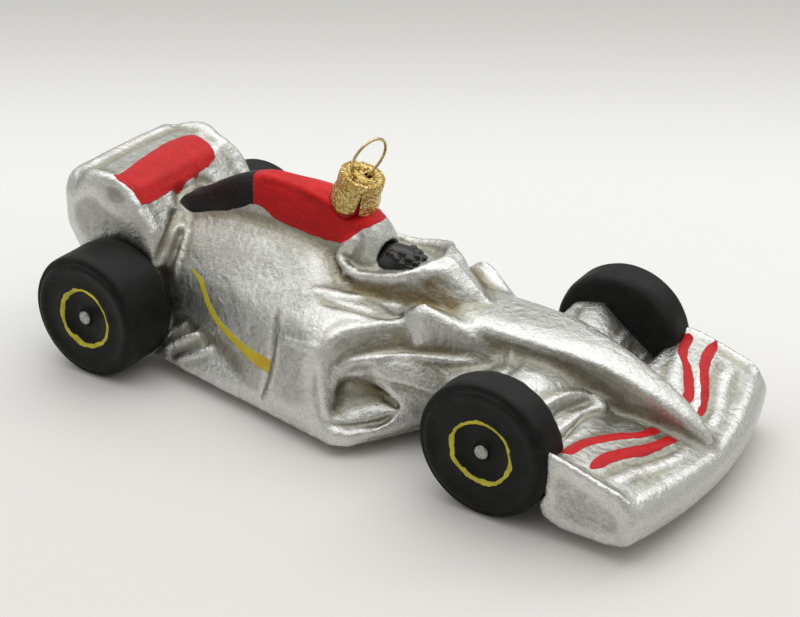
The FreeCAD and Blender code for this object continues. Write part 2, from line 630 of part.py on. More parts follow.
SLITS = 4
cap_body = doc.addObject("PartDesign::Body", "cap_body")
cap_corners = (
    ("Sizes.cap_skirt_radius - Sizes.cap_wall", "0"),
    ("Sizes.cap_skirt_radius", "0"),
    ("Sizes.cap_top_radius", "Sizes.cap_height"),
    ("0", "Sizes.cap_height"),
    ("0", "Sizes.cap_height - Sizes.cap_wall"),
    ("Sizes.cap_top_radius - Sizes.cap_wall", "Sizes.cap_height - Sizes.cap_wall"),
)
turned(cap_body, "cap_shell", outline(cap_body, "cap_profile", "XZ_Plane", cap_corners))
cap_body.Placement = cap_frame
crimp = doc.addObject("Part::Torus", "cap_crimp_ring")
crimp.setExpression("Radius1", "Sizes.cap_top_radius - Sizes.cap_crimp")
crimp.setExpression("Radius2", "Sizes.cap_crimp")
crimp.Placement = cap_frame * FreeCAD.Placement(V(0, 0, size("cap_height") - size("cap_wall") / 2),
                                                FreeCAD.Rotation())
crimp_bore = upright("crimp_bore", "Sizes.cap_top_radius - Sizes.cap_crimp",
                     "Sizes.cap_height - Sizes.cap_wall", 0)


def box_in_frame(name, length, width, height, frame, centre_x, centre_y, bottom):
    """A box whose bottom centre is at a point of a leaning frame."""
    thing = doc.addObject("Part::Box", name)
    for axis, text in zip(("Length", "Width", "Height"), (length, width, height)):
        thing.setExpression(axis, text)
    corner = V(centre_x - float(sheet.evalExpression(length)) / 2,
               centre_y - float(sheet.evalExpression(width)) / 2, bottom)
    thing.Placement = frame * FreeCAD.Placement(corner, FreeCAD.Rotation())
    return thing


slits = []
for number in range(SLITS):
    turn = FreeCAD.Placement(V(0, 0, 0), FreeCAD.Rotation(V(0, 0, 1), 360 * (number + 0.5) / SLITS))
    slits.append(box_in_frame(f"cap_slit_{number}", "Sizes.cap_skirt_radius", "Sizes.cap_slit",
                              "Sizes.cap_slit_height + Sizes.overrun", cap_frame * turn,
                              size("cap_skirt_radius"), 0, -size("overrun")))
slots = []
for number, side in enumerate((1, -1)):
    slot_side = side * (size("leg_apart") + size("loop_wire") / 2)
    slots.append(box_in_frame(f"cap_slot_{number}", "Sizes.cap_slot_width", "Sizes.cap_slot_length",
                              "2 * Sizes.overrun", loop_frame, 0, slot_side,
                              size("cap_height") - size("overrun")))
cap_solid = fuse("cap_solid", cap_body, cut("crimp", crimp, crimp_bore))
piece("cap", cut("cap", cap_solid, *slits, *slots))


# Loop: a wire ring whose ends curl into two straight legs that stand in the neck.

def loop_route():
    """Leg, curl, ring, curl and leg, each tangent to the next, in the loop's own frame."""
    ring = size("loop_radius")
    bend = size("loop_bend")
    apart = size("leg_apart")
    centre_z = size("cap_height") + size("loop_rise")
    drop = math.sqrt((ring + bend) ** 2 - (apart + bend) ** 2)
    curl_z = centre_z - drop
    foot_z = size("cap_height") - size("leg_length")
    reach = ring / (ring + bend)
    touch_y = (apart + bend) * reach
    touch_z = centre_z - drop * reach
    lean = math.atan2(drop, apart + bend) / 2
    middle_y = apart + bend - bend * math.cos(lean)
    middle_z = curl_z + bend * math.sin(lean)

    def place(y, z):
        return V(0, y, z)

    right = [Part.LineSegment(place(-apart, foot_z), place(-apart, curl_z)),
             Part.Arc(place(-apart, curl_z), place(-middle_y, middle_z), place(-touch_y, touch_z))]
    top = [Part.Arc(place(-touch_y, touch_z), place(0, centre_z + ring), place(touch_y, touch_z))]
    left = [Part.Arc(place(touch_y, touch_z), place(middle_y, middle_z), place(apart, curl_z)),
            Part.LineSegment(place(apart, curl_z), place(apart, foot_z))]
    return Part.Wire([curve.toShape() for curve in right + top + left])


route = loop_route()
foot = route.OrderedVertexes[0].Point
wire_round = Part.Wire([Part.makeCircle(size("loop_wire") / 2, foot, V(0, 0, 1))])
loop = shape_feature("hanger_loop", route.makePipeShell([wire_round], True, True))
loop.Placement = loop_frame
piece("hanger_loop", loop)


# Write each sub-part once everything has built and is whole.

doc.recompute()
for thing in doc.Objects:
    if {"Invalid", "Error"} & set(thing.State):
        raise RuntimeError(f"{thing.Name} failed: {thing.State}")
for thing in pieces:
    if thing.Shape.isNull() or not thing.Shape.isValid() or len(thing.Shape.Solids) != 1:
        raise RuntimeError(f"{thing.Label} is not one whole solid: {len(thing.Shape.Solids)}")
os.makedirs("parts", exist_ok=True)
for thing in pieces:
    thing.Shape.exportStep(f"parts/{thing.Label}.step")
    box = thing.Shape.BoundBox
    print(f"{thing.Label:24s} {thing.Shape.Volume:10.1f} mm3"
          f"  x {box.XMin:.1f} {box.XMax:.1f}  y {box.YMin:.1f} {box.YMax:.1f}"
          f"  z {box.ZMin:.1f} {box.ZMax:.1f}")
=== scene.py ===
import math

import bmesh
import bpy
import numpy as np
from mathutils import Matrix, Vector, noise
from mathutils.bvhtree import BVHTree


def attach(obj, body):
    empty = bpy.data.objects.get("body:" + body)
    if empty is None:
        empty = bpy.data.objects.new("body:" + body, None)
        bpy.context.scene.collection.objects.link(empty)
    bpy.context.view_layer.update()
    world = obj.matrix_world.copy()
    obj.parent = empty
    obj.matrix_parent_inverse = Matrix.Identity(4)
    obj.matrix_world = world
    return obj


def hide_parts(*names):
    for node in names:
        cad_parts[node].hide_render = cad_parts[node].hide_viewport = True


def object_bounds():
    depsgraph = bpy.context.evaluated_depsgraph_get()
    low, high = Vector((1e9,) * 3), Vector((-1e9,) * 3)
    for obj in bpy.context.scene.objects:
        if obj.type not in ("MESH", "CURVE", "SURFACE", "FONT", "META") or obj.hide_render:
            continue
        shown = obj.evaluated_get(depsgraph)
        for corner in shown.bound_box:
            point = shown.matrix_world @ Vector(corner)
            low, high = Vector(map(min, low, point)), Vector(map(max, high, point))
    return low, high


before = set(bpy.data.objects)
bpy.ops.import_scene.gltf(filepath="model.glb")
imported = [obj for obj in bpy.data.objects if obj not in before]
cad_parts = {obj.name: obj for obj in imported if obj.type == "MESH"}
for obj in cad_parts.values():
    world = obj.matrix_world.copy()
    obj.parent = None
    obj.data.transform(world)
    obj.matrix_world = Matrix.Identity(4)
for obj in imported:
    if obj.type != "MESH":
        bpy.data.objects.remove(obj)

MM = 0.001
cad_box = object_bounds()


# Body: one thin shell of glass, blown into a mould so that every form is soft, silvered inside
# and mottled. Its hollows and some broad faces are painted darker as shade, its ridges are painted
# lighter as highlights, and its brown patches are partly browned silver and partly painted shade
# and reflection. Its stripes, spine, side lines and wing patch are brushed on in lacquer. It stands
# for all the silver CAD pieces.

shell_nodes = ("tub", "engine_cover", "side_pod_left", "side_pod_right", "floor", "front_wing",
               "rear_wing", "front_suspension_left", "front_suspension_right", "rear_axle_fairing")
mirror_nodes = ("mirror_left", "mirror_right")
weld = 1e-7
shell_grain = 0.54 * MM
shell_rounds, push_rounds, line_rounds = 5, 2, 1

# Webs and fillings of glass as the corners of each, in millimetres, with a copy on the far side.
webs = {
    "nose to wheel": (
        (26, -4, 17.6), (31, -5, 19.6), (36, -5, 19.6), (41, -4.6, 17.6), (47, -4, 11.5),
        (26.4, -20.6, 18.7), (29.5, -20.6, 19.7), (32.7, -20.6, 20.2), (43.8, -20.6, 11.6),
        (45.5, -20.6, 9.6), (27, -20.6, 8), (27, -5, 8), (44, -5, 5), (45, -20.6, 5)),
    "web to tub": (
        (16, -8, 17), (27, -6, 17.6), (17, -13, 15), (26, -16, 16.5), (17, -14, 7), (27, -19, 8),
        (16, -7, 8), (27, -5, 8)),
    "wing back": (
        (45.5, -25, 14.6), (44.6, -8, 14.2), (47, -4, 13.2), (50, -25, 14.2), (52, -14, 13.2),
        (50, -5, 12.4), (45.5, -25, 9), (46, -14, 9), (47, -4, 9), (52, -25, 9), (52, -5, 9)),
    "mirror": (
        (10.4, -10.4, 26.9), (12, -10.2, 27.2), (12.8, -11.8, 26.2), (10.6, -12, 25.6),
        (14.8, -10.4, 25.8), (8.2, -11.6, 24.4), (6.8, -12.6, 21.6), (7.6, -8.5, 22.4),
        (21.5, -7.2, 22.4), (12, -13.6, 21), (8, -12.8, 19.5), (12, -13.6, 18.6), (17.4, -11, 18),
        (22, -8.6, 18.6), (26, -6.8, 19.4), (12, -6, 22), (18, -5, 22), (12, -7, 17)),
    "under mirror": (
        (14, -12.6, 18), (22, -8.8, 18.8), (28, -7, 19.4), (14, -12, 16), (27, -8, 16), (22, -5, 18.5),
        (22, -5, 15), (28, -5, 18)),
    "strake": (
        (5.1, -19.7, 17.2), (12, -15.2, 17.6), (18, -11, 17.8), (21, -8, 17.4), (6.6, -18.9, 14.8),
        (10, -17.8, 14.2), (17.5, -15.2, 12.6), (6, -12, 16), (18, -8, 12), (7, -12, 12)),
    "pocket wall": (
        (5.4, -19.4, 16.8), (4.4, -19.2, 14), (7.4, -18.8, 11.6), (11.4, -18.2, 9), (9, -14, 16),
        (13, -14, 9), (5, -15, 13), (12, -16.5, 12)),
    "tail": (
        (-50.6, -0.6, 29), (-47.6, 0, 30.7), (-41.2, 0, 34.1), (-37.5, 0, 35.9), (-34, 0, 37.2),
        (-50.6, -2.8, 28.4), (-50, -4, 27.4), (-49.4, -4.2, 26), (-47.1, -4.4, 26.4), (-42, -4.6, 28.4),
        (-37, -4.8, 30.3), (-50, 0, 24), (-47, -3, 24), (-34, -3, 30)),
    "end plate top": (
        (44.8, -27.4, 17.3), (50.4, -27.3, 15.9), (54.6, -27.3, 14.7), (62.8, -26.9, 12.3),
        (45, -25.6, 16.4), (54.6, -25.6, 13.8), (62.4, -25.4, 11.4), (45, -27.5, 10), (62.4, -27.2, 8),
        (45, -25.4, 10), (62, -25, 8)),
    "inlet lip": (
        (1.8, -25.2, 7.2), (4.4, -24, 6.6), (8, -20.3, 6.8), (10.8, -17.6, 8.2), (6, -18, 9.4),
        (2.5, -21, 8.8), (2.6, -23, 3), (9, -16, 3)),
    "shelf": (
        (-43, -15, 9.6), (-43, -19.2, 7), (-43, -20.4, 3), (-36, -21.6, 2.6), (-25, -23, 2.4),
        (-15, -24.2, 2.4), (-15, -24.3, 5.6), (-26, -21.4, 7.8), (-36, -18.4, 9.4), (-43, -12, 3),
        (-15, -15, 3)),
    "cowl": (
        (5, -8.2, 29.2), (7.8, -6.2, 30.2), (10, 0, 31.2), (19.6, 0, 24.4), (16.5, -6, 23),
        (10, -8.4, 23.6), (5, -9, 24)),
    "cockpit rim": (
        (-4.2, -8.8, 26.9), (3.1, -8.8, 28.4), (6.3, -7.6, 29.2), (8.8, -7, 27.6), (10.5, -8.2, 24.4),
        (-6, -11, 24.5), (6, -11, 23.5), (-4, -7, 24), (8, -5, 24)),
    "cockpit filling": (
        (-5, -7.2, 27), (1, -8, 27.3), (7.6, -5.6, 28.6), (9, 0, 29.4), (-5, -7, 22), (8, -5, 22),
        (-6, 0, 27.2)),
}

# Knobs of glass: centre and half lengths. The bead is a row of them round the cockpit.
web_knobs = (
    ((28.2, 7, 18.8), (1.2, 1.3, 1.9)),
    ((45, 5.4, 14.8), (2, 1.4, 1.2)),
)
cockpit_bead = (
    (-7.3, -5.6, 32), (-9.1, -5.8, 30), (-9.2, -6.4, 28.6), (-7.4, -7.6, 27.8), (-4.2, -8.6, 27.4),
    (-0.9, -8.6, 27.7), (3.1, -8.5, 28.7), (6, -7.4, 29.6), (8, -5, 30.2), (9, -2.2, 30.7), (9.6, 0, 31),
)
bead_half, bead_step = 0.95, 0.9
knob_levels = 2


def through(places, step):
    """Even points on a smooth line through some places."""
    places = np.array(places, dtype=float)
    ends = np.vstack((2 * places[0] - places[1], places, 2 * places[-1] - places[-2]))
    line = []
    for a, b, c, d in zip(ends[:-3], ends[1:-2], ends[2:-1], ends[3:]):
        count = max(int(np.linalg.norm(c - b) / step), 2)
        for t in np.arange(count) / count:
            line.append(0.5 * (2 * b + (c - a) * t + (2 * a - 5 * b + 4 * c - d) * t ** 2
                               + (3 * b - a - 3 * c + d) * t ** 3))
    return np.array(line + [places[-1]])


def plain_mesh(maker, name):
    """The evaluated object as a plain mesh of its own, with the maker removed."""
    bpy.context.view_layer.update()
    graph = bpy.context.evaluated_depsgraph_get()
    mesh = bpy.data.meshes.new_from_object(maker.evaluated_get(graph))
    mesh.name = name
    bpy.data.objects.remove(maker)
    return mesh


def set_out(name, mesh):
    """An object in the scene that carries a mesh."""
    thing = bpy.data.objects.new(name, mesh)
    bpy.context.scene.collection.objects.link(thing)
    return thing


def smooth_faces(mesh):
    """Smooth shading on every face."""
    mesh.polygons.foreach_set("use_smooth", np.ones(len(mesh.polygons), dtype=bool))
    mesh.update()


def both_sides(rows):
    """The rows, and the rows again with their places mirrored across the middle plane."""
    return [rows, [(x, -y, z) for x, y, z in rows]]


def cast_from_cad(names, fillings, knobs, name, grain):
    """Some CAD solids, cornered fillings and round knobs run together into one skin of even faces."""
    blob = bmesh.new()
    for node in names:
        blob.from_mesh(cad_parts[node].data)
    bmesh.ops.remove_doubles(blob, verts=blob.verts, dist=weld)
    for corners in fillings:
        for rows in both_sides(corners):
            bmesh.ops.convex_hull(blob, input=[blob.verts.new(Vector(spot) * MM) for spot in rows])
    for (x, y, z), half in knobs:
        for side in (1, -1):
            place = Matrix.Translation(Vector((x, side * y, z)) * MM) @ Matrix.Diagonal((*half, 1))
            bmesh.ops.create_icosphere(blob, subdivisions=knob_levels, radius=MM, matrix=place)
    mesh = bpy.data.meshes.new(name)
    blob.to_mesh(mesh)
    blob.free()
    thing = set_out(name, mesh)
    remesh = thing.modifiers.new("cast", "REMESH")
    remesh.mode = "VOXEL"
    remesh.voxel_size = grain
    return plain_mesh(thing, name)


def rows_of(mesh, key):
    """The mesh's points, or their normals, as rows."""
    flat = np.empty(len(mesh.vertices) * 3)
    mesh.vertices.foreach_get(key, flat)
    return flat.reshape(-1, 3)


def give_points(mesh, points):
    """Put moved points back on the mesh."""
    mesh.vertices.foreach_set("co", points.astype(np.float32).ravel())
    mesh.update()


def give_values(mesh, name, values):
    """Store a number on each point for the material to read."""
    layer = mesh.attributes.new(name, "FLOAT", "POINT")
    layer.data.foreach_set("value", np.asarray(values, dtype=np.float32))


class Softener:
    """Averages a value over each point's neighbours."""

    def __init__(self, mesh):
        pairs = np.empty(len(mesh.edges) * 2, dtype=np.int64)
        mesh.edges.foreach_get("vertices", pairs)
        pairs = pairs.reshape(-1, 2)
        self.start = np.concatenate((pairs[:, 0], pairs[:, 1]))
        self.end = np.concatenate((pairs[:, 1], pairs[:, 0]))
        self.count = len(mesh.vertices)
        self.share = 1 / np.maximum(np.bincount(self.start, minlength=self.count), 1)

    def average(self, values):
        if values.ndim == 1:
            return np.bincount(self.start, values[self.end], self.count) * self.share
        return np.stack([self.average(column) for column in values.T], axis=1)

    def soften(self, values, rounds):
        for _ in range(rounds):
            values = values + 0.5 * (self.average(values) - values)
        return values


class Value:
    """A value in a node tree. Python's signs on it add Math nodes."""

    def __init__(self, tree, socket):
        self.tree = tree
        self.socket = socket

    def math(self, operation, *others):
        sockets = dict(enumerate((self, *others)))
        return self.tree.node("ShaderNodeMath", {"operation": operation}, sockets)

    def __add__(self, other):
        return self.math("ADD", other)

    def __sub__(self, other):
        return self.math("SUBTRACT", other)

    def __rsub__(self, other):
        return (self * -1.0).math("ADD", other)

    def __mul__(self, other):
        return self.math("MULTIPLY", other)

    def __truediv__(self, other):
        return self.math("DIVIDE", other)

    def __abs__(self):
        return self.math("ABSOLUTE")

    __radd__ = __add__
    __rmul__ = __mul__

    def least(self, other):
        return self.math("MINIMUM", other)

    def most(self, other):
        return self.math("MAXIMUM", other)

    def ramp(self, low, high, at_low=0.0, at_high=1.0):
        """A soft step between two values of this one."""
        return self.tree.node("ShaderNodeMapRange", {"interpolation_type": "SMOOTHSTEP", "clamp": True},
                              {"Value": self, "From Min": low, "From Max": high,
                               "To Min": at_low, "To Max": at_high})

    def fall(self, low, high, at_low=1.0):
        """A soft step down to nothing."""
        return self.ramp(low, high, at_low, 0.0)


class Tree:
    """A node tree whose nodes are all added by one method."""

    def __init__(self, tree):
        self.tree = tree
        self.tree.nodes.clear()

    def node(self, kind, settings=None, sockets=None, take=0):
        """Add a node, make its settings, then fill its sockets with values or links."""
        node = self.tree.nodes.new(kind)
        for key, setting in (settings or {}).items():
            if key == "bends":
                curve = node.mapping.curves[0]
                for spot, height in setting[1:-1]:
                    curve.points.new(spot, height)
                for point, place in zip(curve.points, setting):
                    point.location = place
                node.mapping.update()
            else:
                setattr(node, key, setting)
        for key, filling in (sockets or {}).items():
            if isinstance(filling, Value):
                self.tree.links.new(filling.socket, node.inputs[key])
            else:
                node.inputs[key].default_value = filling
        return Value(self, node.outputs[take]) if node.outputs else None

    def blend(self, share, first, second):
        """One colour running into another, each a value or red, green and blue."""
        first, second = ((*shade, 1.0) if isinstance(shade, tuple) else shade for shade in (first, second))
        return self.node("ShaderNodeMix", {"data_type": "RGBA"}, {0: share, 6: first, 7: second}, take=2)


class ShapeTree(Tree):
    """A Geometry Nodes tree with named inputs, used as a modifier."""

    def __init__(self, name, **kinds):
        super().__init__(bpy.data.node_groups.new(name, "GeometryNodeTree"))
        face = self.tree.interface
        self.keys = {}
        for label, kind in {"Shape": "Geometry", **kinds, "Finish": "Material"}.items():
            socket = face.new_socket(name=label, in_out="INPUT", socket_type="NodeSocket" + kind)
            self.keys[label] = socket.identifier
        face.new_socket(name="Shape", in_out="OUTPUT", socket_type="NodeSocketGeometry")
        group = self.tree.nodes.new("NodeGroupInput")
        self.given = {socket.name: Value(self, socket) for socket in group.outputs if socket.name}

    def close(self, shape):
        """Make the instances real, give them their material and hand the shape out."""
        real = self.node("GeometryNodeRealizeInstances", None, {"Geometry": shape})
        coated = self.node("GeometryNodeSetMaterial", None,
                           {"Geometry": real, "Material": self.given["Finish"]})
        self.node("NodeGroupOutput", None, {0: coated})

    def use_on(self, thing, **fillings):
        modifier = thing.modifiers.new(self.tree.name, "NODES")
        modifier.node_group = self.tree
        for label, filling in fillings.items():
            modifier[self.keys[label]] = filling


class Finish(Tree):
    """A material. Its places, grains and depths are in millimetres."""

    def __init__(self, name):
        self.material = bpy.data.materials.new(name)
        self.material.use_nodes = True
        super().__init__(self.material.node_tree)
        self.place = self.node("ShaderNodeTexCoord", take="Object")
        self.x, self.y, self.z = (part / MM for part in self.split(self.place))

    def split(self, vector):
        """The three parts of a vector."""
        node = self.tree.nodes.new("ShaderNodeSeparateXYZ")
        self.tree.links.new(vector.socket, node.inputs[0])
        return [Value(self, socket) for socket in node.outputs]

    def noise(self, grain, detail=2.0, roughness=0.5, stretch=None, distortion=0.0):
        """Noise whose lumps are about a grain across."""
        place = self.place
        if stretch:
            place = self.node("ShaderNodeVectorMath", {"operation": "MULTIPLY"}, {0: place, 1: stretch})
        return self.node("ShaderNodeTexNoise", None,
                         {"Vector": place, "Scale": 1 / (grain * MM), "Detail": detail,
                          "Roughness": roughness, "Distortion": distortion})

    def wander(self, grain, reach, detail=2.0, roughness=0.5):
        """An unsteady hand's drift, over a reach."""
        return (self.noise(grain, detail, roughness) - 0.5) * reach

    def attribute(self, name):
        """A number stored on the piece's points."""
        return self.node("ShaderNodeAttribute", {"attribute_name": name}, take="Fac")

    def follow(self, value, rows):
        """A value drawn against another."""
        spots, heights = zip(*rows)
        run = spots[-1] - spots[0]
        rise = max(heights) - min(heights)
        bends = [((spot - spots[0]) / run, (height - min(heights)) / rise) for spot, height in rows]
        share = ((value - spots[0]) / run).least(1.0).most(0.0)
        return self.node("ShaderNodeFloatCurve", {"bends": bends}, {"Value": share}) * rise + min(heights)

    def bumps(self, *layers):
        """Bump nodes in a chain, each a height and its depth."""
        normal = None
        for height, depth in layers:
            sockets = {"Height": height, "Distance": depth * MM, "Strength": 1.0}
            if normal is not None:
                sockets["Normal"] = normal
            normal = self.node("ShaderNodeBump", None, sockets)
        return normal

    def surface(self, **sockets):
        """The Principled shader, named by its sockets with spaces for underscores."""
        filled = {key.replace("_", " "): filling for key, filling in sockets.items()}
        shader = self.node("ShaderNodeBsdfPrincipled", None, filled)
        self.node("ShaderNodeOutputMaterial", None, {"Surface": shader})
        return self.material


# Moulded lines, each with its half width, its height (a groove's is negative), whether it is on
# both sides, and the places that it runs through, in millimetres.

moulded_lines = (
    # crease down the pod's side
    (0.7, -0.4, True, (
        (-14.9, -18.6, 21.6), (-14.4, -21.1, 19.2), (-13.1, -23.2, 14.1), (-13.8, -24, 8.2),
        (-14.9, -24.6, 4.5))),
    # shoulder ridges and the groove between them
    (1.6, 0.55, True, (
        (-12.5, -15.5, 24.6), (-7.5, -13.5, 25), (-1.5, -11.6, 24.8), (4, -10.4, 23.9), (9, -9.6, 23.8))),
    (1.3, -0.5, True, ((-8, -15.8, 24.2), (-3, -15.6, 24.2), (3.3, -13.9, 23.5), (7, -11.6, 22.6))),
    (1.7, 0.65, True, (
        (-1.7, -23.4, 19.1), (-0.9, -21.5, 20.9), (0.5, -19.4, 21.8), (3.8, -16.1, 22.4),
        (6.4, -12.9, 22.4), (8.6, -10.7, 22))),
    (1.4, 0.35, True, ((-12, -22.2, 17.6), (-6.8, -23.1, 18.3), (-2.1, -23.5, 19))),
    # front corner of the pod, its ledge, strake and inlet lip
    (1.3, 0.5, True, ((-1.5, -23.7, 18.4), (-0.9, -24.6, 14.7), (0, -25.3, 10.5), (1.3, -25.9, 7))),
    (1.2, 0.8, True, (
        (1.4, -22.8, 15.6), (3, -20.8, 16.8), (5.4, -18.6, 17.1), (9.2, -15.4, 17.2), (13.7, -12.9, 17.4),
        (18.3, -10, 17.1), (22.3, -7.4, 16.4))),
    (1, 0.35, True, ((6.2, -19, 15.2), (9.6, -17.8, 14.2), (13.5, -16.5, 13.3), (17.5, -15.2, 12.4))),
    (0.9, 0.4, True, ((1.6, -25.6, 7), (4.4, -24.2, 6.4), (8, -20.6, 6.6), (10.8, -17.9, 8))),
    # bead round the cockpit and the edges of its pointed front
    (1.1, 0.5, True, cockpit_bead),
    (1, 0.4, False, ((9.8, 0, 31.2), (13, 0, 29.4), (16, 0, 27), (19.4, 0, 24.4))),
    # foot of the rear wing, and the rear edge of the wall ahead of it
    (1.5, -0.8, True, (
        (-47.9, -6.6, 28.8), (-46.8, -9.3, 27.4), (-45.9, -12.8, 25.2), (-45.6, -15.5, 22.5),
        (-45.4, -17, 20))),
    (1.2, 0.5, True, (
        (-45.8, -6.8, 26.9), (-44.4, -9.6, 25), (-43.8, -12.2, 22.6), (-43.6, -14.4, 20),
        (-43.6, -15.2, 17))),
    # rim of the rear wing
    (1.9, 0.45, True, (
        (-64, -13.9, 35.8), (-60, -15.4, 36.2), (-56.2, -16, 36.3), (-52.3, -16.2, 34.8),
        (-50, -16.3, 31.9), (-47.8, -16.6, 28))),
    (1.9, 0.4, False, (
        (-64.6, -13.5, 35.7), (-65.9, -6.2, 35.3), (-66, 0, 35.3), (-65.9, 6.2, 35.3),
        (-64.6, 13.5, 35.7))),
    # flutes on the shelf by the rear wheel
    (1.3, 0.6, True, ((-38, -16.2, 10), (-40.4, -17.6, 9.2), (-42.6, -19, 8))),
    (1.4, 0.7, True, (
        (-33.6, -17.4, 9.8), (-36.4, -18.6, 8.8), (-39.4, -19.8, 7.4), (-42.2, -20.8, 5.4))),
    (1.5, 0.6, True, ((-29.6, -19.4, 8.8), (-32.4, -20.4, 7.4), (-35.4, -21.2, 6), (-38.6, -21.8, 4.2))),
    (1.1, -0.5, True, ((-35.8, -17, 10), (-38.4, -18.2, 9), (-40.8, -19.6, 7.6), (-43, -20.6, 6))),
    (1.1, -0.45, True, (
        (-31.4, -18.6, 9.2), (-34.2, -19.8, 8), (-37.2, -20.8, 6.4), (-40.4, -21.6, 4.4))),
    # arms of the front suspension and the gaps beside them
    (1.3, 0.8, True, (
        (44.6, -4.6, 16.2), (41.4, -8.2, 17), (39.4, -12, 16.4), (38.4, -16, 16), (38, -19.6, 15.8))),
    (1.3, 0.8, True, (
        (46.2, -4.6, 14), (44.2, -8.4, 14.2), (42.8, -12.2, 13.2), (42, -16, 12.4), (41.6, -19.6, 12.2))),
    (0.9, -0.6, True, (
        (43.8, -6.8, 15.6), (42.2, -9.6, 15.2), (41, -12.4, 14.8), (40.2, -16, 14), (39.8, -19.6, 13.8))),
    (1.5, -0.5, True, ((30, -7.6, 19.2), (30.6, -11, 19.4), (29.6, -15, 19.4), (28.4, -18.6, 19.2))),
    # ridges of the engine cover
    (1.4, 0.4, True, (
        (-33, -1.6, 37.8), (-25.9, -1.9, 38.5), (-20.6, -2.6, 38.3), (-14.9, -3.4, 37.4),
        (-11, -3.9, 36.8))),
    (1.1, 0.5, True, ((-7.6, -4, 36.4), (-7.2, -4.6, 33.8), (-7.4, -5.2, 31), (-8, -5.8, 28.6))),
    # shoulder lines of the nose
    (1.4, 0.35, True, (
        (19.4, -7.2, 23.2), (25.4, -6.6, 23.4), (31.4, -6.6, 23.3), (38, -5.8, 22.7), (44.6, -4.3, 21.4),
        (51, -3.4, 19), (57, -2.6, 16.2), (62, -1.6, 13.2))),
    # front wing: low ribs under the stripes, the ribs and the hollow ahead of them, end plates
    (1.6, 0.32, True, (
        (47, -24.3, 14.6), (47.8, -22.7, 14.6), (48.6, -19.5, 14.5), (50.2, -15, 14.1), (52.4, -11, 13.5),
        (54.9, -7.2, 12.7), (55.7, -4, 12.4))),
    (1.6, 0.32, True, (
        (53.7, -24.8, 14.1), (54, -19.7, 14), (55.2, -15.8, 13.3), (56.9, -11.7, 12.5),
        (58.3, -7.4, 11.9), (59.2, -3.6, 11.6))),
    (1.4, 0.4, True, (
        (57.8, -24, 12.9), (59, -18.6, 12.3), (60.6, -13.5, 11.7), (62, -8.4, 11.2), (62.6, -4.4, 11))),
    (1.2, -0.3, True, (
        (56, -24, 13.4), (56.8, -18.6, 13), (58.4, -13.5, 12.4), (60.2, -8, 11.7), (61, -4.4, 11.4))),
    (1.8, 0.35, True, (
        (62.4, -24.6, 11.2), (63.6, -19.6, 10.9), (65, -12.2, 10.2), (66, -5, 9.7), (66.2, -0.5, 9.6))),
    (1, 0.4, True, (
        (46.2, -26.9, 16.2), (50.4, -27, 15.5), (54.6, -27, 14.4), (58.6, -26.9, 13.2),
        (62.4, -26.6, 12))),
)
line_step = 0.4
taper, taper_foot = 7, 0.1

# Places left softer by the glass: centre, half lengths and how many rounds, on both sides.

soft_places = (
    ((36, -12, 17), (14, 9.5, 7), 16),
    ((16, -11, 21.5), (12, 5, 6.5), 9),
    ((10.5, -7.2, 26.4), (7.5, 3.2, 3.6), 16),
    ((8, -18.5, 12), (5, 4, 4), 8),
    ((-48, -3.6, 28), (4, 3.5, 4), 4),
    ((-58, -17, 28), (9, 3, 9), 14),
    ((45.6, -26.6, 16), (4, 3, 3), 4),
)
soft_gain = 2.5

# Pushed places: centre, half lengths and how far the glass goes there, in millimetres.

pushed_places = (
    # dark concave face below the pod's front edge
    ((2.2, -21.4, 12), (3.6, 4, 4), (-0.8, 0.6, 0)),
    # fall of the pod's rear flank towards the shelf
    ((-28, -20.5, 9.5), (12, 5, 4), (0, 0.5, 0)),
    # flat flank behind the shoulder
    ((-16, -14.5, 27), (16, 9, 8), (0, 0.35, -0.4)),
    # end of the tail and the wall that it runs up to
    ((-49.6, -3, 28), (4, 4.8, 4.6), (-1.9, -0.2, -0.2)),
    # corners of the rear wing
    ((-54, -17, 35), (6, 4, 5), (0, 1, -0.7)),
    ((-66, -16.5, 35), (4, 4, 5), (0.8, 0.9, -0.7)),
    # hollow of the front wing between its stripes and its rolled edge
    ((60.6, -15, 12), (4, 12, 3), (0, 0, -0.35)),
)


def lines_on_skin(skin, lines):
    """The lines as chains of edges that lie on the skin, with their reach and rise on each point."""
    ground = BVHTree.FromPolygons([vertex.co for vertex in skin.vertices],
                                  [tuple(face.vertices) for face in skin.polygons])
    spots, links, reaches, rises = [], [], [], []
    for half_width, height, mirrored_too, places in lines:
        for rows in both_sides(places)[:2 if mirrored_too else 1]:
            line = through(rows, line_step)
            for number, spot in enumerate(line):
                share = number / (len(line) - 1)
                if number:
                    links.append((len(spots) - 1, len(spots)))
                spots.append(ground.find_nearest(Vector(spot) * MM)[0])
                reaches.append(half_width * MM)
                share = min(share, 1 - share)
                rises.append(height * MM * min(1, taper * share + taper_foot))
    chain = bpy.data.meshes.new("lines")
    chain.from_pydata(spots, links, [])
    give_values(chain, "reach", reaches)
    give_values(chain, "rise", rises)
    return set_out("lines", chain)


moulding = ShapeTree("moulding", Lines="Object")
chains = moulding.node("GeometryNodeObjectInfo", None, {"Object": moulding.given["Lines"]}, take="Geometry")
away = moulding.node("GeometryNodeProximity", {"target_element": "EDGES"}, {0: chains}, take="Distance")
nearest = moulding.node("GeometryNodeSampleNearest", None, {"Geometry": chains})
stored = (moulding.node("GeometryNodeInputNamedAttribute", None, {"Name": name})
          for name in ("reach", "rise"))
reach, rise = (moulding.node("GeometryNodeSampleIndex", None,
                             {"Geometry": chains, "Index": nearest, "Value": value}) for value in stored)
lift = (away / reach).fall(0.0, 1.0) * rise
outward = moulding.node("ShaderNodeVectorMath", {"operation": "SCALE"},
                        {0: moulding.node("GeometryNodeInputNormal"), "Scale": lift})
moulding.close(moulding.node("GeometryNodeSetPosition", None,
                             {"Geometry": moulding.given["Shape"], "Offset": outward}))

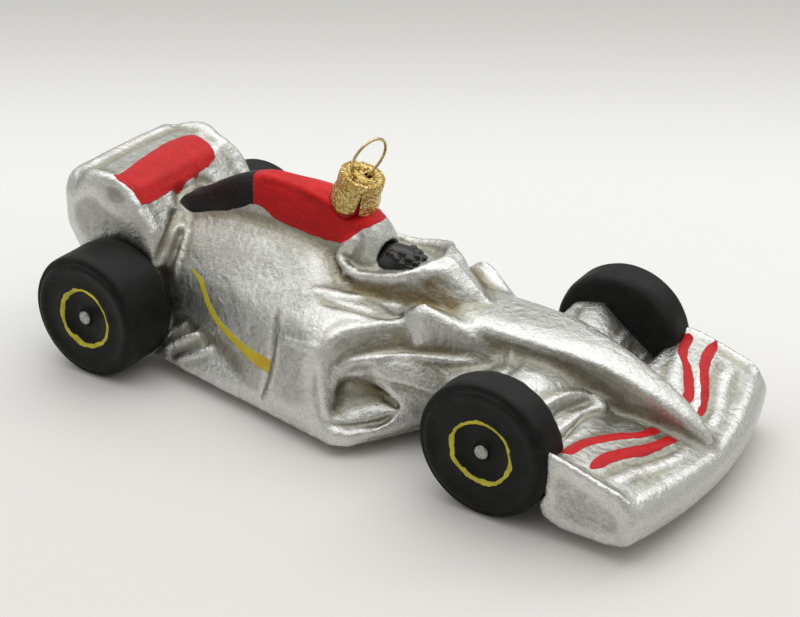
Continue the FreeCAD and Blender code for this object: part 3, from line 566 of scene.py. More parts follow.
bead_knobs = [(spot, (bead_half,) * 3) for spot in through(cockpit_bead, bead_step)]
shell_mesh = cast_from_cad(shell_nodes, webs.values(), (*web_knobs, *bead_knobs), "glass_body", shell_grain)
softener = Softener(shell_mesh)
skin = softener.soften(rows_of(shell_mesh, "co"), shell_rounds)


def nearness(points, centre, half, side):
    """How near each point is to a place, from 0 at its edge to 1 at its middle."""
    apart = (points / MM - np.array((1, side, 1)) * centre) / half
    return np.clip(1 - np.einsum("ij,ij->i", apart, apart), 0, 1)


for centre, half, rounds in soft_places:
    softer = softener.soften(skin, rounds)
    for side in (1, -1):
        share = np.clip(soft_gain * nearness(skin, centre, half, side), 0, 1)
        skin = skin + share[:, None] * (softer - skin)
for centre, half, push in pushed_places:
    for side in (1, -1):
        share = nearness(skin, centre, half, side) ** 2
        skin = skin + share[:, None] * np.array((1, side, 1)) * push * MM
skin = softener.soften(skin, push_rounds)
give_points(shell_mesh, skin)

for raised in (True, False):
    shell = set_out("glass_body", shell_mesh)
    lines = lines_on_skin(shell_mesh, [line for line in moulded_lines if (line[1] > 0) == raised])
    moulding.use_on(shell, Lines=lines)
    shell_mesh = plain_mesh(shell, "glass_body")
    bpy.data.objects.remove(lines)
skin = softener.soften(rows_of(shell_mesh, "co"), line_rounds)
give_points(shell_mesh, np.clip(skin, *(np.array(tuple(corner)) for corner in cad_box)))
smooth_faces(shell_mesh)


def silvered(finish):
    """The silver's colour, roughness and bumps, one recipe on every part of the shell: painted shade in its
    hollows and on broad faces, painted highlights on its ridges, and brown patches of browned silver and
    painted shade.
    """
    clouds = finish.noise(6.0, 4.0, 0.6)
    wrinkle = finish.noise(2.4, 3.0, 0.55, distortion=0.8)
    mottle = finish.noise(1.1, 6.0, 0.74)
    fine = finish.noise(0.34, 3.0, 0.7)
    grit = finish.noise(0.6, 6.0, 0.78)
    hollow, ridge, brown, facing = (finish.attribute(name) for name in ("hollow", "ridge", "brown", "facing"))
    clean = finish.blend(mottle.ramp(0.30, 0.70), (0.41, 0.417, 0.38), (0.68, 0.688, 0.645))
    clean = finish.blend(clouds.ramp(0.40, 0.60) * 0.50, clean, (0.40, 0.407, 0.368))
    clean = finish.blend(fine.ramp(0.42, 0.70) * 0.32, clean, (0.84, 0.845, 0.80))
    clean = finish.blend(fine.fall(0.34, 0.50) * 0.18, clean, (0.30, 0.30, 0.265))
    # Painted shade: the hollows are painted darker and olive, where shade and dark reflections fall.
    sunk = hollow.ramp(0.3, 1.0) * (0.40 + 0.5 * grit)
    with_painted_shade = finish.blend(sunk, clean, (0.30, 0.285, 0.205))
    # Brown patches: partly browned silver, partly painted shade and painted reflection.
    brown_and_shade_share = (brown * (0.62 + 0.85 * grit) + 0.2 * sunk * brown).least(1.0)
    with_painted_shade = finish.blend(brown_and_shade_share, with_painted_shade, (0.19, 0.15, 0.08))
    # Painted shade: broad faces painted darker for how the light falls on them.
    shaded = finish.blend(facing, with_painted_shade, (0.30, 0.30, 0.275))
    # Painted highlight: the ridges are painted lighter.
    colour = finish.blend(ridge.ramp(0.2, 0.9) * (0.25 + 0.6 * grit), shaded, (0.86, 0.86, 0.84))
    roughness = 0.34 + 0.26 * (mottle - 0.5) + 0.20 * (clouds - 0.5) - 0.08 * ridge
    layers = [(clouds, 0.35), (wrinkle, 0.30), (mottle, 0.15), (grit, 0.08), (fine, 0.03)]
    return colour, roughness, layers


# Brushed stripes, as the middle and the half width of each against the way it runs. A half width
# below nothing leaves the glass bare.
wing_stripes = (
    (
        (-26, 47), (-24, 47.8), (-23, 48.2), (-19.5, 48.6), (-15, 50.2), (-11, 52.4), (-7.2, 54.9),
        (-4, 55.7), (0, 56.2), (8.5, 55.9), (12.2, 54.4), (16.6, 52), (20.7, 49.1), (24.2, 48.3),
        (26, 48),
    ),
    (
        (-26, 53.4), (-22, 53.8), (-19.7, 54), (-15.8, 55.2), (-11.7, 56.9), (-7.4, 58.3), (-4, 59),
        (0, 59.6), (6.8, 59.4), (10.8, 58.2), (16, 55.8), (20.1, 54), (24.4, 53.1), (27.5, 53),
    ),
)
wing_stripe_halves = (
    (
        (-26, -1), (-24.1, -1), (-23.5, 0.7), (-22.6, 1.2), (-19.5, 1.3), (-15, 1.3), (-11, 1.2),
        (-7.2, 0.9), (-4.6, 1), (-3.8, 0.8), (-3.2, -1), (4, -1), (5, 0.5), (8.5, 0.95), (12.2, 1.1),
        (16.6, 0.95), (20.7, 1), (25, 1.05), (25.6, 0.6), (26, -1),
    ),
    (
        (-26, -1), (-24.6, -0.2), (-23.4, 0.7), (-22, 1.05), (-19.7, 1.15), (-15.8, 1.4), (-11.7, 1.3),
        (-7.4, 1), (-4.4, 1), (-3.8, 0.6), (-3.2, -1), (4, -1), (5.2, 0.3), (6.8, 0.5), (10.8, 0.75),
        (16, 0.95), (20.1, 1.05), (24.4, 1), (26.4, 0.5), (27.5, -1),
    ),
)
swoosh_middle = (
    (-40.5, 20.9), (-39.2, 20.4), (-37, 19.8), (-35.4, 18.9), (-33.6, 17.2), (-30.9, 15.2), (-27.9, 13.9),
    (-22.1, 12.5), (-17.6, 11.9), (-14, 11.8), (-13, 11.8),
)
swoosh_half = (
    (-40.5, -0.6), (-39.4, 0.12), (-37, 0.45), (-35.4, 0.8), (-33.6, 0.9), (-30.9, 0.85), (-27.9, 0.75),
    (-22.1, 0.95), (-17.6, 1.15), (-13.9, 1.25), (-13.5, -0.6), (-13, -1),
)

# Edges of the spine's lacquer, of its black tail and of the rear wing's patch.
spine_foot = (
    (-52, 26), (-50, 25.9), (-49.4, 26), (-47.1, 26.5), (-41.7, 28.6), (-36.8, 30.3), (-33.2, 31.9),
    (-31, 33), (-29.5, 33), (-25.6, 31.7), (-18.1, 31.1), (-10.2, 31), (-9.2, 31.6), (-7.8, 32.6),
    (-5.3, 34.6), (0, 36),
)
tail_crown = (
    (-52.5, 29.2), (-51, 29.4), (-49.5, 29.9), (-48.2, 30.4), (-46.5, 32), (-44, 36), (-40, 42),
)
patch_rear = (
    (-16, -56.6), (-14.8, -56.7), (-11, -57.4), (-8, -58), (-3.7, -58.9), (0, -59.4), (4.7, -59.9),
    (9.6, -59.3), (11.3, -56.3),
)
patch_front = (
    (-16, -49.8), (-14.6, -49.9), (-9.2, -50.2), (-2.8, -50.3), (3.9, -50.6), (9.1, -51.1), (10.6, -52.7),
    (11.3, -56),
)

# Where a lacquer starts, or ends, as the two places that it fades between.
brush_edge = 0.05
brush_drift = (1.8, 0.5)
stripes_upper, stripes_ahead, stripes_behind = (8.5, 8.8), (44, 45), (40, 44)
nose_foot, nose_foot_half, nose_foot_rise = 13.5, 4, 0.12
swoosh_outer, swoosh_rear, swoosh_front = (10, 10.5), (-40.5, -40.3), (-13.4, -13.2)
swoosh_ochre = (-20, -14)
spine_side, spine_rear, spine_front = (7.4, 7.6), (-52.2, -52.0), (-4.2, -3.9)
tail_join, tail_join_height, tail_join_lean = -32.9, 37.6, -0.38
tail_side, tail_crown_fall = (4.6, 4.7), 0.06
patch_near, patch_far, patch_low, patch_ahead = (-15.1, -15.0), (11.2, 11.3), (27, 27.5), (-48, -46)


def brushed(finish):
    """Where the lacquers lie on the shell: red, black and yellow, each from 0 to 1."""
    drift = finish.wander(*brush_drift)
    across = abs(finish.y)

    def inside(gap):
        return gap.ramp(-brush_edge, brush_edge)

    first, second = (inside(finish.follow(finish.y, half) + drift
                            - abs(finish.x - finish.follow(finish.y, middle)))
                     for middle, half in zip(wing_stripes, wing_stripe_halves))
    below_nose = inside(nose_foot + (across - nose_foot_half) * nose_foot_rise - finish.z)
    stripes = first.most(second) * finish.z.ramp(*stripes_upper) * finish.x.ramp(*stripes_ahead) * below_nose
    gap = (finish.follow(finish.x, swoosh_half) + 0.6 * drift
           - abs(finish.z - finish.follow(finish.x, swoosh_middle)))
    yellow = (inside(gap) * across.ramp(*swoosh_outer)
              * finish.x.ramp(*swoosh_rear) * finish.x.fall(*swoosh_front))
    spine = (inside(finish.z + drift - finish.follow(finish.x, spine_foot)) * across.fall(*spine_side)
             * finish.x.ramp(*spine_rear) * finish.x.fall(*spine_front))
    join = finish.x + 2.0 * drift + (tail_join_height - finish.z) * tail_join_lean
    tail = join.fall(tail_join - brush_edge, tail_join + brush_edge)
    tail_top = inside(finish.follow(finish.x, tail_crown) - finish.y * finish.y * tail_crown_fall - finish.z)
    spine = spine * (1 - tail + tail * tail_top * across.fall(*tail_side))
    sideways = finish.y + drift
    patch = (inside(finish.x + drift - finish.follow(finish.y, patch_rear))
             * inside(finish.follow(finish.y, patch_front) + drift - finish.x)
             * sideways.ramp(*patch_near) * sideways.fall(*patch_far) * finish.z.ramp(*patch_low))
    red = stripes.most(patch).most(spine * (1 - tail))
    return red, spine * tail, yellow


crease_run = (
    (4.5, -14.9), (6.5, -14.4), (8.2, -13.8), (11.1, -13.4), (14.1, -13.1), (16.8, -12.8), (19.2, -13.2),
    (20.8, -13.4),
)
crease_foot, crease_top, crease_outer = (4.5, 6.5), (18.5, 20.5), (18, 19)
crease_width = (0.08, 0.36)


def pod_crease(finish):
    """A thin line of painted shade in the groove down the pod's side, from 0 to 1."""
    gap = abs(finish.x + finish.wander(*brush_drift) - finish.follow(finish.z, crease_run))
    reach = finish.z.ramp(*crease_foot) * finish.z.fall(*crease_top)
    return gap.fall(*crease_width, 0.7) * reach * abs(finish.y).ramp(*crease_outer)


def painted_glass():
    """Silvered glass with its lacquers."""
    finish = Finish("silver_glass")
    colour, roughness, layers = silvered(finish)
    red, black, yellow = brushed(finish)
    streaks = finish.noise(1.2, 3.0, 0.6, stretch=(0.25, 1, 1))
    clouds = finish.noise(5, 3.0, 0.6)
    upwards = finish.split(finish.node("ShaderNodeNewGeometry", take="Normal"))[2]
    red_coat = finish.blend(streaks.ramp(0.35, 0.7), (0.66, 0.007, 0.008), (0.80, 0.010, 0.011))
    red_coat = finish.blend(clouds.ramp(0.42, 0.72) * 0.4, red_coat, (0.40, 0.003, 0.004))
    # Painted shade: the red is painted darker on faces that turn from the light above.
    red_coat = finish.blend(upwards.fall(0.25, 0.75, 0.5), red_coat, (0.22, 0.005, 0.006))
    red_coat = finish.blend(finish.x.fall(*patch_ahead, 0.35), red_coat, (0.42, 0.006, 0.007))
    red_coat = finish.blend(finish.x.ramp(*stripes_behind) * 0.6, red_coat, (0.50, 0.008, 0.014))
    black_coat = finish.blend(clouds.ramp(0.4, 0.7), (0.005, 0.005, 0.005), (0.011, 0.0105, 0.010))
    ochre = finish.x.ramp(*swoosh_ochre) * streaks.ramp(0.3, 0.6)
    yellow_coat = finish.blend(ochre, (0.60, 0.50, 0.03), (0.62, 0.36, 0.02))
    for share, coat in ((red, red_coat), (yellow, yellow_coat), (black, black_coat)):
        colour = finish.blend(share, colour, coat)
    # Painted shade in the groove of the pod's crease.
    colour = finish.blend(pod_crease(finish) * (1 - yellow), colour, (0.16, 0.14, 0.10))
    paint = red.most(black).most(yellow)
    roughness = roughness * (1 - paint) + (0.24 + 0.16 * streaks) * paint
    layers = [*layers, (paint, 0.07), (streaks * paint, 0.05)]
    return finish.surface(Base_Color=colour, Roughness=roughness, Metallic=0.92 - 0.88 * paint,
                          Normal=finish.bumps(*layers), Specular_IOR_Level=0.22)


# Brown patches, partly where the silver inside has browned and partly painted shade and painted
# reflection, each with its reach, its strength, the way that the glass faces there, or none, and
# the places that it runs through, in millimetres.
brown_and_shade_lines = (
    (3.6, 1, None, ((-3, -9.5, 25.4), (3, -9.3, 25.8), (8, -8.1, 26.2), (11.4, -7.1, 25.4))),
    (3, 1, None, ((10, -6.2, 28.2), (12.6, -5.6, 26.4), (14.5, -5.4, 25.4))),
    (1.2, 0.85, None, (
        (-9.6, -7.2, 27.2), (-7.4, -8.6, 26.5), (-4.2, -9.6, 26), (-0.9, -9.7, 26.2), (3.1, -9.5, 27.1),
        (6, -8.5, 27.9))),
    (2, 0.35, (0, -1, 0), (
        (19.5, -7.4, 20.4), (29.4, -6.6, 20.8), (37.2, -5.8, 19.4), (42.7, -4.6, 16.8),
        (48.4, -3.7, 14.4), (56, -3, 12.4), (62, -2.8, 10.8))),
    (3.2, 0.6, None, ((8.6, -13, 19.2), (14.5, -12.4, 19.2), (19, -8, 19.2))),
    (3.4, 0.7, (1, 0, 0), ((1.5, -22.6, 17.4), (1.4, -23.2, 13.5), (1.3, -24.6, 9.4))),
    (2.4, 0.6, None, ((2.4, -20.4, 19.6), (7.5, -14.6, 19.8))),
    (4, 0.95, None, ((3.6, -17.6, 12.6), (6.6, -17, 10.8))),
    (1.1, 0.5, None, ((44, -8, 13.4), (42.6, -14, 12.4))),
    (2.6, 0.8, None, ((-52.4, -17.2, 30), (-49.6, -17.4, 28.6), (-48.6, -17.2, 24.6))),
    (5, 0.3, None, ((-40, -6.4, 29.6), (-28, -6.4, 30.6), (-18, -7.4, 29.4), (-9, -7.4, 28.6))),
    (3, 0.5, None, ((-46.6, -8, 27.6), (-45.6, -13, 23.6))),
)
brown_and_shade_step = 0.8
facing_from, facing_to = 0.3, 0.65

# Broad faces painted darker as shade, for how the light falls on them: the rear wing's ends, the
# front wing's rolled edge and the top of the nose. Each has its bounds, how far the glass turns
# that way, and how much darker it is.
end_ahead, end_low, end_turn, end_shade = -46, (16, 22), (0.5, 0.9), 0.45
edge_ahead, edge_turn, edge_shade = (59, 64), (0.45, 0.85), 0.85
nose_ahead, nose_half, nose_turn, nose_shade = (24, 34), (4, 7), (0.6, 0.9), 0.4
shade_rounds = 30


def between(values, low, high):
    """How far each value is from one number to another, from 0 to 1."""
    return np.clip((values - low) / (high - low), 0, 1)


def paint_brown_and_shade_on(mesh):
    """Store how brown each point is, as browned silver and painted shade, and how much painted shade its
    broad faces take.
    """
    points = rows_of(mesh, "co") / MM
    normals = rows_of(mesh, "normal")
    brown = np.zeros(len(points))
    for reach, strength, way, places in brown_and_shade_lines:
        for side, rows in zip((1, -1), both_sides(places)):
            line = through(rows, brown_and_shade_step)
            gaps = np.min([np.linalg.norm(points - spot, axis=1) for spot in line], axis=0)
            share = np.clip(1 - gaps / reach, 0, 1)
            share = strength * share * share * (3 - 2 * share)
            if way:
                towards = normals @ np.array((way[0], side * way[1], way[2]))
                share = share * between(towards, facing_from, facing_to)
            brown = np.maximum(brown, share)
    give_values(mesh, "brown", brown)
    x, y, z = points.T
    up = normals[:, 2]
    # Painted shade for the rear wing's ends, the front wing's rolled edge and the nose top.
    wing_end = (x < end_ahead) * between(np.abs(normals[:, 1]), *end_turn) * between(z, *end_low)
    rolled_edge = between(x, *edge_ahead) * (1 - between(up, *edge_turn))
    nose_top = between(x, *nose_ahead) * (1 - between(np.abs(y), *nose_half)) * between(up, *nose_turn)
    facing = end_shade * wing_end + edge_shade * rolled_edge + nose_shade * nose_top
    give_values(mesh, "facing", softener.soften(facing, shade_rounds))


# How many rounds each size of hollow shows over, and the depth that counts as a whole one.
hollow_sizes = ((8, 0.05 * MM), (60, 0.35 * MM))


def hollows_and_ridges(mesh):
    """Store how sunk and how raised each point is against the skin round it."""
    points = rows_of(mesh, "co")
    normals = rows_of(mesh, "normal")
    rise = sum(np.einsum("ij,ij->i", points - softener.soften(points, rounds), normals) / depth
               for rounds, depth in hollow_sizes)
    rise = softener.soften(rise, 2)
    give_values(mesh, "hollow", np.clip(-rise, 0, 1))
    give_values(mesh, "ridge", np.clip(rise, 0, 1))


hollows_and_ridges(shell_mesh)
paint_brown_and_shade_on(shell_mesh)
glass_body = set_out("glass_body", shell_mesh)
shell_mesh.materials.clear()
shell_mesh.materials.append(painted_glass())
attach(glass_body, "glass")
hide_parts(*shell_nodes, *mirror_nodes)


# Wheels: four drums blown with the body, dipped in satin black lacquer, with a yellow ring
# brushed by hand round each dished face and a bare silver dot on the hub. They don't turn.
# The sizes are the radius, the width, how far out the face is and how far ahead the axle.

wheel_sizes = {"front": (12.8, 8.7, 28.96, 34.65), "rear": (12.5, 13.3, 30.07, -53.35)}
wheel_steps, wheel_row_step = 128, 0.22
wheel_waves = ((0.16, 4.5), (0.06, 1.6))
rear_wave_shift, side_wave_shift = 40, 17
wave_radius, face_wave_share = 14, 0.8
skin_gap = 0.02
ring_radius, ring_half, dot_radius, dish_radius = 5.75, 0.40, (1.30, 1.40), (4.4, 5.4)


def lathed(rows, steps):
    """Rings of points turned round the Y axis through the origin, with capped ends."""
    turns = np.arange(steps) * 2 * math.pi / steps
    points = [(radius * math.cos(turn), depth, radius * math.sin(turn))
              for radius, depth in rows[1:-1] for turn in turns]
    faces = []
    rings = len(rows) - 2
    for ring in range(rings - 1):
        for step in range(steps):
            near, far = ring * steps, (ring + 1) * steps
            after = (step + 1) % steps
            faces.append((near + step, near + after, far + after, far + step))
    for ring, (_, depth), order in ((0, rows[0], -1), (rings - 1, rows[-1], 1)):
        points.append((0, depth, 0))
        for step in range(steps):
            pair = (ring * steps + step, ring * steps + (step + 1) % steps)
            faces.append((*pair[::order], len(points) - 1))
    return points, faces


def wheel_rows(radius, width):
    """The wheel's half section from the hub to the middle of its inner face, in millimetres."""
    hub = [(0, 0.50), (0.7, 0.50), (1.25, 0.62), (1.5, 1.15), (1.9, 1.55), (2.7, 1.7), (3.5, 1.62),
           (4.4, 1.4), (5.1, 1.05), (5.7, 0.6), (6.5, 0.5), (7.6, 0.62)]
    shoulder = [(3.6, 0.55), (2.7, 0.25), (2.0, 0.14), (1.5, 0.3), (1.15, 0.8), (0.9, 0.95),
                (0.45, 0.85), (0.15, 1.25), (0, 2.2), (0, width * 0.5)]
    back = [(0.05, 2.6), (0.5, 1.2), (1.5, 0.35), (3.5, 0.05)]
    corners = [*hub, *((radius - inset, depth) for inset, depth in shoulder),
               *((radius - inset, width - depth) for inset, depth in back), (4, width), (0, width)]
    line = through([(0, *corner) for corner in corners], wheel_row_step)[:, 1:]
    line[:, 0] = np.clip(line[:, 0], 0, radius)
    return line


def wheel_mesh(name, end, side):
    """One wheel as it left the mould, a little uneven."""
    radius, width, face, axle = wheel_sizes[end]
    points, faces = lathed(wheel_rows(radius - skin_gap, width), wheel_steps)
    mesh = bpy.data.meshes.new(name)
    mesh.from_pydata(points, [], faces)
    moved = []
    reach = []
    for x, depth, z in points:
        spot = Vector((x, depth + (rear_wave_shift if end == "rear" else 0), z + side * side_wave_shift))
        sway = sum(height * noise.noise(spot / grain) for height, grain in wheel_waves)
        share = 1 + sway / wave_radius
        reach.append(math.hypot(x, z) if depth < width / 2 else radius)
        moved.append((axle + x * share, side * (face - max(depth + face_wave_share * sway, skin_gap)),
                      max(radius + z * share, 0.0)))
    give_points(mesh, np.array(moved) * MM)
    give_values(mesh, "from_axle", reach)
    blob = bmesh.new()
    blob.from_mesh(mesh)
    bmesh.ops.recalc_face_normals(blob, faces=blob.faces)
    blob.to_mesh(mesh)
    blob.free()
    smooth_faces(mesh)
    return mesh


def wheel_lacquer():
    """Satin black with scuffs, the yellow ring and the bare dot."""
    finish = Finish("black_wheel_lacquer")
    out = finish.attribute("from_axle")
    face = finish.node("ShaderNodeNewGeometry", take="Normal")
    sideways = abs(finish.split(face)[1]).ramp(0.35, 0.75)
    clouds = finish.noise(3.2, 4.0, 0.6)
    dust = finish.noise(0.5, 4.0, 0.7)
    sway = finish.wander(4.0, 1.6)
    width = ring_half + finish.wander(2.6, 0.9, 3.0, 0.6)
    ring = (width - abs(out + sway - ring_radius)).ramp(-brush_edge, brush_edge) * sideways
    dot = (out + 0.35 * sway).fall(*dot_radius) * sideways
    black = finish.blend(clouds.ramp(0.35, 0.7), (0.005, 0.0055, 0.0055), (0.011, 0.012, 0.011))
    dish = out.fall(*dish_radius) * sideways
    black = finish.blend(dish * 0.8, black, (0.003, 0.003, 0.003))
    black = finish.blend(dust.ramp(0.66, 0.80) * 0.25, black, (0.06, 0.06, 0.058))
    yellow = finish.blend(clouds.ramp(0.4, 0.6), (0.46, 0.42, 0.05), (0.62, 0.54, 0.05))
    silver = finish.blend(dust.ramp(0.35, 0.65), (0.26, 0.26, 0.24), (0.50, 0.50, 0.47))
    colour = finish.blend(ring, finish.blend(dot, black, silver), yellow)
    return finish.surface(Base_Color=colour, Roughness=0.42 + 0.14 * clouds - 0.12 * dish, Metallic=0.7 * dot,
                          Normal=finish.bumps((clouds, 0.14), (dust, 0.02), (ring, 0.06)),
                          Specular_IOR_Level=0.18)


wheel_black = wheel_lacquer()
for end in ("front", "rear"):
    for side, hand in ((1, "left"), (-1, "right")):
        name = f"{end}_wheel_{hand}"
        wheel = set_out("blown_" + name, wheel_mesh("blown_" + name, end, side))
        wheel.data.materials.append(wheel_black)
        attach(wheel, "glass")
        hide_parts(name)


# Helmet: a black lacquered drop of glass in the cockpit, narrower in front, with small round
# bumps on both sides of its front and on its near side.

helmet_middle = (-0.7, 0, 26.6)
helmet_half = (6.58, 4.7, 4.23)
helmet_levels = 6
helmet_narrowing = 0.28
twin_bumps = ((0.78, -0.62, 0.30), (0.66, -0.62, 0.52), (0.44, -0.70, 0.62), (0.52, -0.42, 0.80),
              (0.24, -0.66, 0.76), (0.72, -0.34, 0.66))
lone_bumps = ((0.30, -0.36, 0.92), (0.02, -0.58, 0.85), (0.62, 0, 0.82))
bump_radius, bump_height, bump_roundness = 0.135, 0.13, 0.7
drop = bmesh.new()
bmesh.ops.create_icosphere(drop, subdivisions=helmet_levels, radius=1.0)
helmet_mesh = bpy.data.meshes.new("helmet_drop")
drop.to_mesh(helmet_mesh)
drop.free()
ball = rows_of(helmet_mesh, "co")
narrow = 1 - helmet_narrowing * np.clip(ball[:, :1], 0, 1) ** 2
dome = ball * np.hstack((np.ones_like(narrow), narrow, narrow))
for spot in (*twin_bumps, *both_sides(twin_bumps)[1], *lone_bumps):
    spot = np.array(spot) / np.linalg.norm(spot)
    apart = np.linalg.norm(ball - spot, axis=1) / bump_radius
    dome = dome + ball * (bump_height * np.clip(1 - apart ** 2, 0, 1) ** bump_roundness)[:, None]
give_points(helmet_mesh, (dome * helmet_half + helmet_middle) * MM)
smooth_faces(helmet_mesh)
finish = Finish("black_helmet_lacquer")
grain = finish.noise(1.1, 3.0, 0.6)
helmet_mesh.materials.append(finish.surface(
    Base_Color=finish.blend(grain.ramp(0.4, 0.7), (0.004, 0.004, 0.004), (0.011, 0.010, 0.010)),
    Roughness=0.10 + 0.06 * grain, Normal=finish.bumps((grain, 0.02)), Specular_IOR_Level=0.5))
helmet_drop = set_out("helmet_drop", helmet_mesh)
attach(helmet_drop, "glass")
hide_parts("helmet")


# Neck: the stub of glass pipe under the cap, silvered, with the red of the spine run up its foot.

neck_lean = math.radians(18.5)
red_top = (34.0, 34.2)
finish = Finish("neck_glass")
grain = finish.noise(1.2, 4.0, 0.6)
along_neck = finish.x * math.sin(neck_lean) + finish.z * math.cos(neck_lean)
lacquered = (along_neck + (grain - 0.5) * 0.6).fall(*red_top)
bare = finish.blend(grain.ramp(0.3, 0.7), (0.30, 0.30, 0.27), (0.50, 0.50, 0.46))
neck_glass = finish.surface(
    Base_Color=finish.blend(lacquered, bare, (0.40, 0.006, 0.007)),
    Roughness=0.22 + 0.15 * grain, Metallic=0.9 - 0.86 * lacquered, Normal=finish.bumps((grain, 0.08)),
    Specular_IOR_Level=0.22)
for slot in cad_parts["neck"].material_slots:
    slot.material = neck_glass


# Cap: a crown stamped from thin brass sheet, hammered all over, with a rope of beads pressed
# round its rim and round its sunk middle, and a skirt slit into four petals that grip the neck.
# Its own up is the neck's. Places on it are a radius and a height, in millimetres.

cap_lean = Matrix.Translation(Vector((-10.45, 0, 38.1)) * MM) @ Matrix.Rotation(neck_lean, 4, "Y")
slots_turn, petal_turn = math.radians(-11), math.radians(39)
petals, petal_steps = 4, 36
cap_sheet = 0.22 * MM
skirt_heights = (-1.9, -1.3, -0.6, 0, 0.5, 1, 1.5, 2, 2.5, 3, 3.5, 4, 4.4, 4.7, 4.9)
skirt_radius, skirt_draw, skirt_draw_height = 4.62, 0.36, 4.6
skirt_wave, skirt_waves = 0.10, 1.9
slit_top, slit_least, slit_spread = 4, 0.02, 0.085
point_top, point_depth, point_bend, petal_flare = 1.5, 1.3, 1.3, 0.10
crinkle_low, crinkle_depth, crinkles = 2.6, 0.05, 34
crown_top = ((4.2, 5.15), (4.0, 5.32), (3.6, 5.36), (3.2, 5.28), (2.8, 5.26), (2.5, 5.3), (2.25, 5.2),
             (2.1, 4.95), (1.95, 4.75))
middle_height, middle_radii, slot_half, cap_weld = 4.7, (1.7, 1.2, 0.8), 0.85, 0.001
ropes = ((4.0, 0.36, 40, 5.30), (2.62, 0.32, 28, 5.34))
rope_lay, rope_squeeze = math.radians(38), 0.78


def skirt_at(height, across, turn):
    """The skirt's level and radius at a height, drooping to a point and flaring by the slits."""
    low = max(1 - height / slit_top, 0)
    level = height
    if height < point_top:
        drop_share = (point_top - height) / (point_top - skirt_heights[0])
        level += drop_share * point_depth * abs(across) ** point_bend
    above = max(level, 0)
    radius = (skirt_radius - skirt_draw * min(above / skirt_draw_height, 1)
              + skirt_wave * math.sin(above * skirt_waves))
    crinkled = max(0, (height - crinkle_low) / (skirt_heights[-1] - crinkle_low))
    return level, (radius + petal_flare * abs(across) ** 3 * low
                   + crinkle_depth * math.sin(turn * crinkles) * crinkled)


def turn_at(petal, across, gap):
    """The way out from the middle at a place across a petal, between its two slits."""
    return (petal + 0.5 + across * (0.5 - gap / 2)) * 2 * math.pi / petals + petal_turn


def crown_mesh():
    """The pressed sheet: petals, skirt, rim, sunk middle and its two slots."""
    blob = bmesh.new()
    grid = {}

    def put(key, radius, turn, level):
        grid[key] = blob.verts.new((radius * math.cos(turn), radius * math.sin(turn), level))

    for row, height in enumerate(skirt_heights):
        slit = height < slit_top
        gap = slit_least + slit_spread * (1 - height / slit_top) if slit else 0.0
        for petal in range(petals):
            for step in range(petal_steps + (1 if slit else 0)):
                across = 2 * step / petal_steps - 1
                turn = turn_at(petal, across, gap)
                level, radius = skirt_at(height, across, turn)
                put((row, petal, step), radius, turn, level)
    skirt_rows = len(skirt_heights)
    for row, (radius, height) in enumerate(crown_top, skirt_rows):
        for petal in range(petals):
            for step in range(petal_steps):
                put((row, petal, step), radius, turn_at(petal, 2 * step / petal_steps - 1, 0.0), height)

    def at(row, petal, step):
        if step == petal_steps and (row >= skirt_rows or skirt_heights[row] >= slit_top):
            return grid[row, (petal + 1) % petals, 0]
        return grid[row, petal, step]

    last = skirt_rows + len(crown_top) - 1
    for row in range(last):
        for petal in range(petals):
            for step in range(petal_steps):
                blob.faces.new((at(row, petal, step), at(row, petal, step + 1),
                                at(row + 1, petal, step + 1), at(row + 1, petal, step)))
    outer = [at(last, petal, step) for petal in range(petals) for step in range(petal_steps)]
    for radius in middle_radii:
        inner = []
        for vertex in outer:
            flat = Vector((vertex.co.x, vertex.co.y, 0)).normalized()
            inner.append(blob.verts.new((flat.x * radius, flat.y * radius, middle_height)))
        for number in range(len(outer)):
            after = (number + 1) % len(outer)
            middle = (outer[number].co + outer[after].co) / 2
            turned = Matrix.Rotation(-slots_turn, 3, "Z") @ middle
            if abs(turned.x) >= slot_half or radius == middle_radii[-1]:
                blob.faces.new((outer[number], outer[after], inner[after], inner[number]))
        outer = inner
    blob.faces.new(outer)
    bmesh.ops.remove_doubles(blob, verts=blob.verts, dist=cap_weld)
    bmesh.ops.recalc_face_normals(blob, faces=blob.faces)
    bmesh.ops.scale(blob, vec=(MM, MM, MM), verts=blob.verts)
    mesh = bpy.data.meshes.new("crown")
    blob.to_mesh(mesh)
    blob.free()
    return mesh


rope = ShapeTree("rope_ring", Radius="Float", Bead="Float", Count="Int", Height="Float")
circle = rope.node("GeometryNodeMeshCircle", None,
                   {"Vertices": rope.given["Count"], "Radius": rope.given["Radius"]})
bead = rope.node("GeometryNodeMeshIcoSphere", None, {"Radius": rope.given["Bead"], "Subdivisions": 2})
turn = rope.node("GeometryNodeInputIndex") * (2 * math.pi) / rope.given["Count"]
lay = rope.node("ShaderNodeCombineXYZ", None, {"X": rope_lay, "Y": 0.0, "Z": turn})
beads = rope.node("GeometryNodeInstanceOnPoints", None,
                  {"Points": circle, "Instance": bead, "Rotation": lay,
                   "Scale": (1.0, rope_squeeze, rope_squeeze)})
lifted = rope.node("ShaderNodeCombineXYZ", None, {"Z": rope.given["Height"]})
rope.close(rope.node("GeometryNodeTransform", None, {"Geometry": beads, "Translation": lifted}))


def gilt():
    """Hammered gold, with painted highlight and painted shade in the pattern of its dents."""
    finish = Finish("hammered_gilt")
    dents = finish.node("ShaderNodeTexVoronoi", {"feature": "SMOOTH_F1"},
                        {"Vector": finish.place, "Scale": 1 / (0.62 * MM), "Smoothness": 0.25},
                        take="Distance")
    grain = finish.noise(0.45, 4.0, 0.7)
    # Painted highlight and painted shade: the gold is painted lighter and darker with its dents.
    dark = (dents * 0.8 + grain * 0.5).ramp(0.36, 0.74)
    return finish.surface(Base_Color=finish.blend(dark, (1.0, 0.84, 0.42), (0.60, 0.41, 0.12)),
                          Roughness=0.20 + 0.20 * grain, Metallic=1.0,
                          Normal=finish.bumps((dents, 0.30), (grain, 0.16)))


